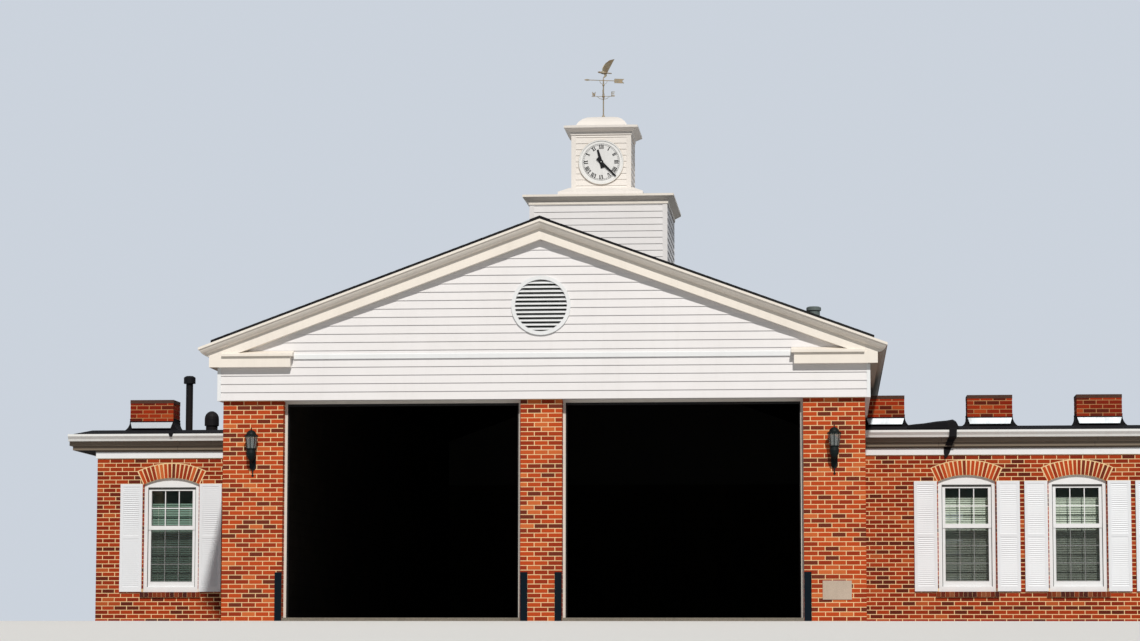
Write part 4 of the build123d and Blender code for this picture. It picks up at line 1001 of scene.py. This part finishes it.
class LayShingles(bpy.types.Operator):
    """Lay the shingle tabs of both slopes and the caps along the ridge"""
    bl_idname = "firestation.shingles"
    bl_label = "Shingles"

    def execute(self, context):
        sizes = context.scene.fire_station_sizes
        slope = math.atan(ROOF_SLOPE)
        exposure, pitch = sizes.shingle_exposure, sizes.shingle_width
        thickness, half_gap, narrowest, lift = 0.006, 0.003, 0.03, 0.012
        cupola, run = BASE_HALF - 0.02, ROOF_HALF / math.cos(slope)
        for side, word in ((-1, "left"), (1, "right")):
            tabs = Blocks()
            for i in range(int(run / exposure)):
                x = (run - (i + 0.5) * exposure) * math.cos(slope)
                z = RIDGE - x * ROOF_SLOPE + 0.5 * thickness
                offset = pitch / 2 if i % 2 else 0.0
                for j in range(int(2 * ROOF_END / pitch) + 2):
                    y0 = max(-ROOF_END, -ROOF_END + offset + (j - 1) * pitch + half_gap)
                    y1 = min(ROOF_END, -ROOF_END + offset + j * pitch - half_gap)
                    middle = (y0 + y1) / 2
                    if y1 - y0 < narrowest or (x < cupola and abs(middle) < cupola):
                        continue
                    tabs.add((side * x, middle, z), (exposure * 1.02, y1 - y0, thickness),
                             (0, side * (slope + lift), 0))
            lay(f"roof_{word}_shingles", tabs, "mineral_shingle", seed=17 + side)
        caps, cap_width, beside = Blocks(), 0.16, 0.075
        for j in range(int(2 * ROOF_END / exposure)):
            y = -ROOF_END + (j + 0.5) * exposure
            if abs(y) < BASE_HALF:
                continue
            for side in (-1, 1):
                caps.add((side * beside, y, RIDGE - beside * ROOF_SLOPE + lift),
                         (cap_width, exposure * 1.03, thickness), (lift, side * slope, 0))
        lay("ridge_caps", caps, "mineral_shingle", seed=23)
        return {"FINISHED"}


class FeltRoofEdges(bpy.types.Operator):
    """Turn up the felt round the stacks, close the gaps behind, raise the flue and hang the felt's loose ends"""
    bl_idname = "firestation.felt"
    bl_label = "Felt and loose membrane"

    def execute(self, context):
        self.turn_up_felt()
        self.fill_behind_stack()
        self.mesh_vents()
        self.loose_ends()
        self.raise_flue()
        return {"FINISHED"}

    def turn_up_felt(self):
        felt, thick, deep = Blocks(), 0.01, CHIMNEY_DEPTH / 2
        low, high = WING_ROOF - 0.01, WING_ROOF + CURB_TOP
        for x, across in CHIMNEYS:
            half = across / 2
            for y, turn in ((CHIMNEY_Y - deep, 0), (CHIMNEY_Y + deep, 180)):
                Wall(x, y, turn).block(felt, -half - thick, half + thick, -thick, 0, low, high)
            for side in (-1, 1):
                Wall(x + side * half, CHIMNEY_Y, 90 * side).block(felt, -deep, deep, -thick, 0, low, high)
        lay("curb_felt", felt, "roofing_felt")

    def fill_behind_stack(self):
        """Closes the slit between the bay and the stack next to it, with a cap of its own."""
        infill, cap = Blocks(), Blocks()
        near = CHIMNEYS[0][0] - CHIMNEYS[0][1] / 2
        start, top = BAY_HALF + 0.008, WING_ROOF + CHIMNEY_HEIGHT
        slot = Wall(0, CHIMNEY_Y - CHIMNEY_DEPTH / 2, 0)
        slot.block(infill, start, near - 0.002, 0.01, CHIMNEY_DEPTH - 0.01, WING_ROOF - 0.01, top)
        slot.block(cap, start, near - 0.03, -0.005, CHIMNEY_DEPTH + 0.005, top, top + 0.05)
        lay("stack_infill", infill, "soot_mortar")
        lay("stack_infill_cap", cap, "stack_cap")

    def mesh_vents(self):
        """A round of mesh behind each gable vent's louvres, made of level strips; its near-black colour also paints
        the shadow deep in the vent.
        """
        backs, strips, outer, inner = Blocks(), 28, 0.06, 0.063
        for y, turn in ((SIDING_FRONT, 0), (-SIDING_FRONT, 180)):
            for i in range(strips):
                z0, z1 = (VENT_CLEAR * (2 * edge / strips - 1) for edge in (i, i + 1))
                reach = math.sqrt(VENT_CLEAR ** 2 - max(z0 ** 2, z1 ** 2) + 1e-9)
                if reach > 0.02:
                    Wall(0, y, turn).block(backs, -reach, reach, outer, inner, VENT_Z + z0, VENT_Z + z1)
        lay("vent_mesh", backs, "vent_mesh")

    def raise_flue(self):
        """The upper pipe of the roof flue, which shows over the right slope, with its flat cap."""
        low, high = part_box("roof_flue")
        x, y, top = (low.x + high.x) / 2, (low.y + high.y) / 2, high.z
        outline = [(0.1, -0.06), (0.1, 0.29), (0.12, 0.295), (0.12, 0.345), (0.09, 0.36)]
        rings = [[(x + u, y + v, top + z) for u, v in circle(radius, 20)] for radius, z in outline]
        piece = solid_of("upper_flue", [rings])
        piece.data.materials.append(bpy.data.materials["flue_paint"])
        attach(piece, "building")

    def loose_ends(self):
        """A ruck of membrane on the roof's edge and strips of it that hang over the gutter."""
        ruck = [(5.43, 3.05), (5.457, 3.115), (5.56, 3.128), (5.7, 3.14), (5.9, 3.17), (6.05, 3.182), (6.162, 3.2),
                (6.215, 3.165), (6.25, 3.092), (6.25, 3.05)]
        # Each strip: (left, right, y, z) down its middle line
        strips = [
            [(6.09, 6.24, -8.40, 3.06), (6.1, 6.222, -8.5, 3.075), (6.1, 6.22, -8.551, 3.04),
             (6.1, 6.216, -8.552, 2.925), (6.075, 6.19, -8.432, 2.88), (6.06, 6.17, -8.428, 2.85),
             (6.03, 6.145, -8.36, 2.772), (6.018, 6.13, -8.328, 2.74), (6.02, 6.105, -8.327, 2.67),
             (6.034, 6.046, -8.326, 2.597)],
            [(-6.39, -6.3, -8.42, 3.055), (-6.385, -6.295, -8.5, 3.07), (-6.38, -6.3, -8.551, 3.04),
             (-6.36, -6.32, -8.552, 2.985)],
        ]
        foot, thick = 3.03, 0.005
        stacks = [[[(x, y, foot + (z - foot) * shrink) for x, z in ruck]
                   for y, shrink in ((-8.52, 0.82), (-8.44, 1.0), (-8.33, 0.9))]]
        for strip in strips:
            stacks.append([[(left, y, z), (right, y, z), (right, y + thick, z - thick), (left, y + thick, z - thick)]
                           for left, right, y, z in strip])
        piece = solid_of("loose_membrane", stacks)
        piece.data.materials.append(bpy.data.materials["roofing_felt"])
        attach(piece, "building")


# Windows

class FitWindows(bpy.types.Operator):
    """Fit the bars of the sashes, the insect screens in front and the slatted blinds behind"""
    bl_idname = "firestation.windows"
    bl_label = "Window bars and blinds"

    def execute(self, context):
        sizes = context.scene.fire_station_sizes
        bars, slats, shaded_slats, cords, screens, shadow_strips = (Blocks() for _ in range(6))
        for x, y, turn in WINDOWS:
            wall = Wall(x, y, turn)
            self.divide_sashes(wall, bars, sizes)
            self.hang_screen(wall, screens, shadow_strips)
            # The front-left window's blinds take a darker copy of the slats: painted shadow.
            shaded = turn == 0 and x < 0
            self.hang_blind(wall, shaded_slats if shaded else slats, cords, 0.24 if shaded else 0.18, sizes)
        lay("window_bars", bars, "trim_paint")
        lay("window_blinds", slats, "blind_slat")
        lay("shaded_blind", shaded_slats, "shaded_blind_slat")
        lay("blind_cords", cords, "blind_slat")
        lay("insect_screens", screens, "insect_screen")
        lay("screen_tracks", shadow_strips, "painted_sash_shadow")
        return {"FINISHED"}

    def divide_sashes(self, wall, bars, sizes):
        """Three panes across, in two rows above the meeting rail and three below it."""
        upright, level = GLASS_Y - 0.018, GLASS_Y - 0.0175
        for low, high, rows in ((MEETING_RAIL[1], SASH_TOP, 2), (SASH_BOTTOM, MEETING_RAIL[0], 3)):
            half = sizes.muntin / rows
            for u in (-SASH_HALF / 3, SASH_HALF / 3):
                wall.block(bars, u - half, u + half, upright, GLASS_Y, low, high)
            for row in range(1, rows):
                split = low + (high - low) * row / rows
                wall.block(bars, -SASH_HALF, SASH_HALF, level, GLASS_Y, split - half, split + half)

    def hang_screen(self, wall, screens, shadow_strips):
        """A screen before the lower sash, and near-black strips round both sashes that paint the shadow at their
        edges.
        """
        edge, head, side, proud = 0.004, 0.034, 0.009, 0.005
        wall.block(screens, -SASH_HALF - edge, SASH_HALF + edge, GLASS_Y - 0.029, GLASS_Y - 0.028,
                   SASH_BOTTOM - edge, MEETING_RAIL[0] + 0.03)
        for a, b, low, high in ((-CASING_HALF, CASING_HALF, CASING_TOP - head, CASING_TOP),
                                (-CASING_HALF, -CASING_HALF + side, CASING_BOTTOM, CASING_TOP - head),
                                (CASING_HALF - side, CASING_HALF, CASING_BOTTOM, CASING_TOP - head)):
            wall.block(shadow_strips, a, b, SASH_FACE - proud, SASH_FACE, low, high)

    def hang_blind(self, wall, slats, cords, drop, sizes):
        """Tilted slats from a head rail, a drop below the sash's top, with two lift cords."""
        half, face, slat, slat_half, tilt = 0.43, 0.244, 0.0025, 0.0155, -0.5
        rail, rail_low, rail_high = (0.23, 0.262), 0.016, 0.04
        cord, cord_half, cord_place, cord_foot = (0.2305, 0.2325), 0.0025, 0.26, 0.02
        top = SASH_TOP - drop
        for i in range(int((top - WINDOW_BOTTOM) / sizes.blind_pitch)):
            z = top - i * sizes.blind_pitch
            wall.block(slats, -half, half, face, face + slat, z - slat_half, z + slat_half, tilt)
        wall.block(slats, -half, half, *rail, top + rail_low, top + rail_high)
        for u in (-cord_place, cord_place):
            wall.block(cords, u - cord_half, u + cord_half, *cord, WINDOW_BOTTOM + cord_foot, top)


class FitLouvres(bpy.types.Operator):
    """Fit the sloping louvres of the shutters"""
    bl_idname = "firestation.louvres"
    bl_label = "Shutter louvres"

    def execute(self, context):
        pitch = context.scene.fire_station_sizes.louvre_pitch
        louvres, outer, inner, half, tilt = Blocks(), 0.0055 - SHUTTER_FACE, 0.0085 - SHUTTER_FACE, 0.0165, -0.3
        for x, y, turn in WINDOWS:
            for side in (-1, 1):
                a, b = sorted((side * (SHUTTER[0] + SHUTTER_STILE), side * (SHUTTER[1] - SHUTTER_STILE)))
                for low, high in SHUTTER_FIELDS:
                    count = int((high - low) / pitch)
                    for i in range(count):
                        z = low + (i + 0.5) * (high - low) / count
                        Wall(x, y, turn).block(louvres, a, b, outer, inner, z - half, z + half, tilt)
        lay("shutter_louvres", louvres, "shutter_paint")
        return {"FINISHED"}


# Clock and vane

class PaintDial(bpy.types.Operator):
    """Put the numerals and the minute track on the clock's dial"""
    bl_idname = "firestation.dial"
    bl_label = "Clock dial"

    def execute(self, context):
        size = context.scene.fire_station_sizes.numeral_height
        marks, thick, enamel_out = Blocks(), 0.0016, 0.028
        plane = CORNER_PROUD - TOWER_HALF - enamel_out

        def stroke(angle, radius, u, width, tall, lean=0.0):
            """A stroke of a numeral, u to the right of its middle, seen with its foot to the centre."""
            turn = Matrix.Rotation(angle, 3, "Y")
            at = turn @ Vector((u, 0, radius))
            shape = (turn @ Matrix.Rotation(lean, 3, "Y")).to_euler()
            marks.add((at.x, plane - thick / 2, DIAL_Z + at.z), (width, thick, tall), shape)

        numerals = ["XII", "I", "II", "III", "IIII", "V", "VI", "VII", "VIII", "IX", "X", "XI"]
        thin, wide, slanted, radius = 0.11 * size, 0.2 * size, 1.04 * size, 0.672 * DIAL_RADIUS
        advance = {"I": 0.3 * size, "V": 0.62 * size, "X": 0.62 * size}
        # Each slanted letter: the strokes' lean and their shift from the letter's middle
        slants = {"X": (0.3, 0.0), "V": (0.17, 0.17 * size)}
        for hour, word in enumerate(numerals):
            angle = math.radians(30 * hour)
            u = -sum(advance[letter] for letter in word) / 2
            for letter in word:
                centre = u + advance[letter] / 2
                if letter == "I":
                    stroke(angle, radius, centre, wide, size)
                else:
                    lean, shift = slants[letter]
                    stroke(angle, radius, centre - shift, wide, slanted, -lean)
                    stroke(angle, radius, centre + shift, thin, slanted, lean)
                u += advance[letter]
        for minute in range(60):
            angle = math.radians(6 * minute)
            stroke(angle, 0.78 * DIAL_RADIUS, 0, 0.009 if minute % 5 == 0 else 0.0035, 0.02)
            for ring in (0.752, 0.808):
                span = 2 * ring * DIAL_RADIUS * math.tan(math.radians(3)) * 1.02
                stroke(angle, ring * DIAL_RADIUS, 0, span, 0.003)
        lay("dial_numerals", marks, "black_hand_paint")
        return {"FINISHED"}


class StandLetters(bpy.types.Operator):
    """Stand the four letters on the weather vane's compass arms"""
    bl_idname = "firestation.compass"
    bl_label = "Compass letters"

    def execute(self, context):
        letters = Blocks()
        tall, wide, bar, thick, reach, rail = 0.086, 0.062, 0.015, 0.008, 0.182, 0.0045
        # Each stroke: its middle and its size, as shares of the letter, and its lean
        strokes = {
            "E": [(-0.5, 0, 0, 1, 0), (0.05, 0.5, 1, 0, 0), (0, 0, 0.8, 0, 0), (0.05, -0.5, 1, 0, 0)],
            "N": [(-0.5, 0, 0, 1, 0), (0.5, 0, 0, 1, 0), (0, 0, 0, 1.12, -0.52)],
            "W": [(-0.45, 0, 0, 1, -0.14), (-0.15, -0.12, 0, 0.78, 0.22), (0.15, -0.12, 0, 0.78, -0.22),
                  (0.45, 0, 0, 1, 0.14)],
            "S": [(0, 0.5, 0.9, 0, 0), (-0.45, 0.25, 0, 0.5, 0), (0, 0, 0.9, 0, 0), (0.45, -0.25, 0, 0.5, 0),
                  (0, -0.5, 0.9, 0, 0)],
        }
        middle = ARM_Z + 0.004 + tall / 2
        for letter, x, y, turn in (("E", reach, 0, 0), ("W", -reach, 0, 0), ("N", 0, reach, 90),
                                   ("S", 0, -reach, 90)):
            wall = Wall(x, y, turn)
            for u, v, across, up, lean in strokes[letter]:
                at = wall.place(u * (wide - bar), 0, middle + v * (tall - bar))
                letters.add(at, (across * wide if across else bar, thick, up * tall if up else bar), wall.lean(lean))
            wall.block(letters, -wide / 2 - 0.012, wide / 2, -rail, rail, ARM_Z - rail, ARM_Z + rail)
        lay("compass_letters", letters, "weathered_bronze")
        return {"FINISHED"}


class PaintFrame(bpy.types.Operator):
    """Give every piece of the fixed frame its finish"""
    bl_idname = "firestation.finishes"
    bl_label = "Finishes"

    def execute(self, context):
        make_finishes(context.scene.fire_station_colours)
        left = set(NODES)
        for finish, names in NODE_FINISHES.items():
            for name in names:
                mesh = NODES[name].data
                mesh.materials.clear()
                mesh.materials.append(bpy.data.materials[finish])
                left.remove(name)
        if left:
            raise RuntimeError(f"no finish for {sorted(left)}")
        return {"FINISHED"}


class SetStage(bpy.types.Operator):
    """Lay the pale floor, set the soft studio light and place the camera at the photograph's angle"""
    bl_idname = "firestation.stage"
    bl_label = "Stage"

    def execute(self, context):
        scene = context.scene
        camera = bpy.data.cameras.new("photo_camera")
        camera.sensor_width = SENSOR
        camera.lens = PHOTO_FOCAL * SENSOR / PHOTO_WIDTH
        camera.shift_y = (PHOTO_CENTRE_Y - PHOTO_HEIGHT / 2) / PHOTO_WIDTH
        camera.clip_end = 500
        holder = link("photo_camera", camera)
        holder.location = CAMERA_AT
        holder.rotation_euler = (math.radians(90 + CAMERA_PITCH), math.radians(CAMERA_ROLL), math.radians(CAMERA_YAW))
        scene.camera = holder

        # A level floor that falls away in front, because the camera stands below the doors
        rows = ((220, 0), (-12.4, 0), (-13.5, -0.012), (-16, -0.07), (-24, -0.32), (-60, -1.6), (-220, -8))
        points = [(x, y, z) for y, z in rows for x in (-220, 220)]
        faces = [(2 * i + 2, 2 * i + 3, 2 * i + 1, 2 * i) for i in range(len(rows) - 1)]
        mesh = bpy.data.meshes.new("studio_floor")
        mesh.from_pydata(points, [], faces)
        floor = link("studio_floor", mesh)
        ground_finish(scene.fire_station_colours.ground)
        mesh.materials.append(bpy.data.materials["studio_ground"])

        sun = bpy.data.lights.new("soft_key", "SUN")
        sun.energy = 3.05
        sun.angle = math.radians(2)
        sun.color = (1.0, 0.965, 0.91)
        link("soft_key", sun).rotation_euler = Vector(SUN_TOWARDS).to_track_quat("Z", "Y").to_euler()
        light_world(scene)
        scene.view_settings.view_transform = "Standard"
        return {"FINISHED"}


def ground_finish(ground):
    """Matt floor, pale where the camera sees it and darker for the light that it throws back."""
    tree, surface = new_finish("studio_ground")
    path = tree.nodes.new("ShaderNodeLightPath")
    thrown = [c * GROUND_BOUNCE for c in ground]
    feed(surface, Base_Color=blend_colour(tree, path.outputs["Is Camera Ray"], thrown, ground), Roughness=0.9)


def light_world(scene):
    """Even studio light; camera and mirror rays see a pale backdrop."""
    world = bpy.data.worlds.new("studio_light")
    scene.world = world
    world.use_nodes = True
    tree = world.node_tree
    tree.nodes.clear()
    path = tree.nodes.new("ShaderNodeLightPath")
    seen = maths(tree, "MAXIMUM", path.outputs["Is Camera Ray"], path.outputs["Is Glossy Ray"])
    seen = maths(tree, "MAXIMUM", seen, path.outputs["Is Transmission Ray"])
    light = add_node(tree, "ShaderNodeBackground", Color=(0.86, 0.93, 1.0), Strength=0.24)
    backdrop = add_node(tree, "ShaderNodeBackground", Color=(0.6, 0.65, 0.72), Strength=1.0)
    mix = add_node(tree, "ShaderNodeMixShader", Fac=seen, input_1=light.outputs[0], input_2=backdrop.outputs[0])
    add_node(tree, "ShaderNodeOutputWorld", Surface=mix.outputs[0])


STEPS = (PaintFrame, LayBrickwork, LayArchesAndSills, NailSiding, LayShingles, FeltRoofEdges, FitWindows, FitLouvres,
         PaintDial, StandLetters, SetStage)


class FireStationPanel(bpy.types.Panel):
    """The building's sizes, colours and the steps that dress it"""
    bl_idname = "VIEW3D_PT_fire_station"
    bl_label = "Fire Station"
    bl_space_type = "VIEW_3D"
    bl_region_type = "UI"
    bl_category = "Fire Station"

    def draw(self, context):
        layout = self.layout
        for step in STEPS:
            layout.operator(step.bl_idname)
        for group in (context.scene.fire_station_sizes, context.scene.fire_station_colours):
            box = layout.box()
            for name in group.__annotations__:
                box.prop(group, name)


CLASSES = (FireStationSizes, FireStationColours, *STEPS, FireStationPanel)


def register():
    for item in CLASSES:
        bpy.utils.register_class(item)
    bpy.types.Scene.fire_station_sizes = bpy.props.PointerProperty(type=FireStationSizes)
    bpy.types.Scene.fire_station_colours = bpy.props.PointerProperty(type=FireStationColours)


def unregister():
    del bpy.types.Scene.fire_station_colours
    del bpy.types.Scene.fire_station_sizes
    for item in reversed(CLASSES):
        bpy.utils.unregister_class(item)


def main():
    register()
    for step in STEPS:
        group, name = step.bl_idname.split(".")
        getattr(getattr(bpy.ops, group), name)()


if __name__ == "__main__":
    main()
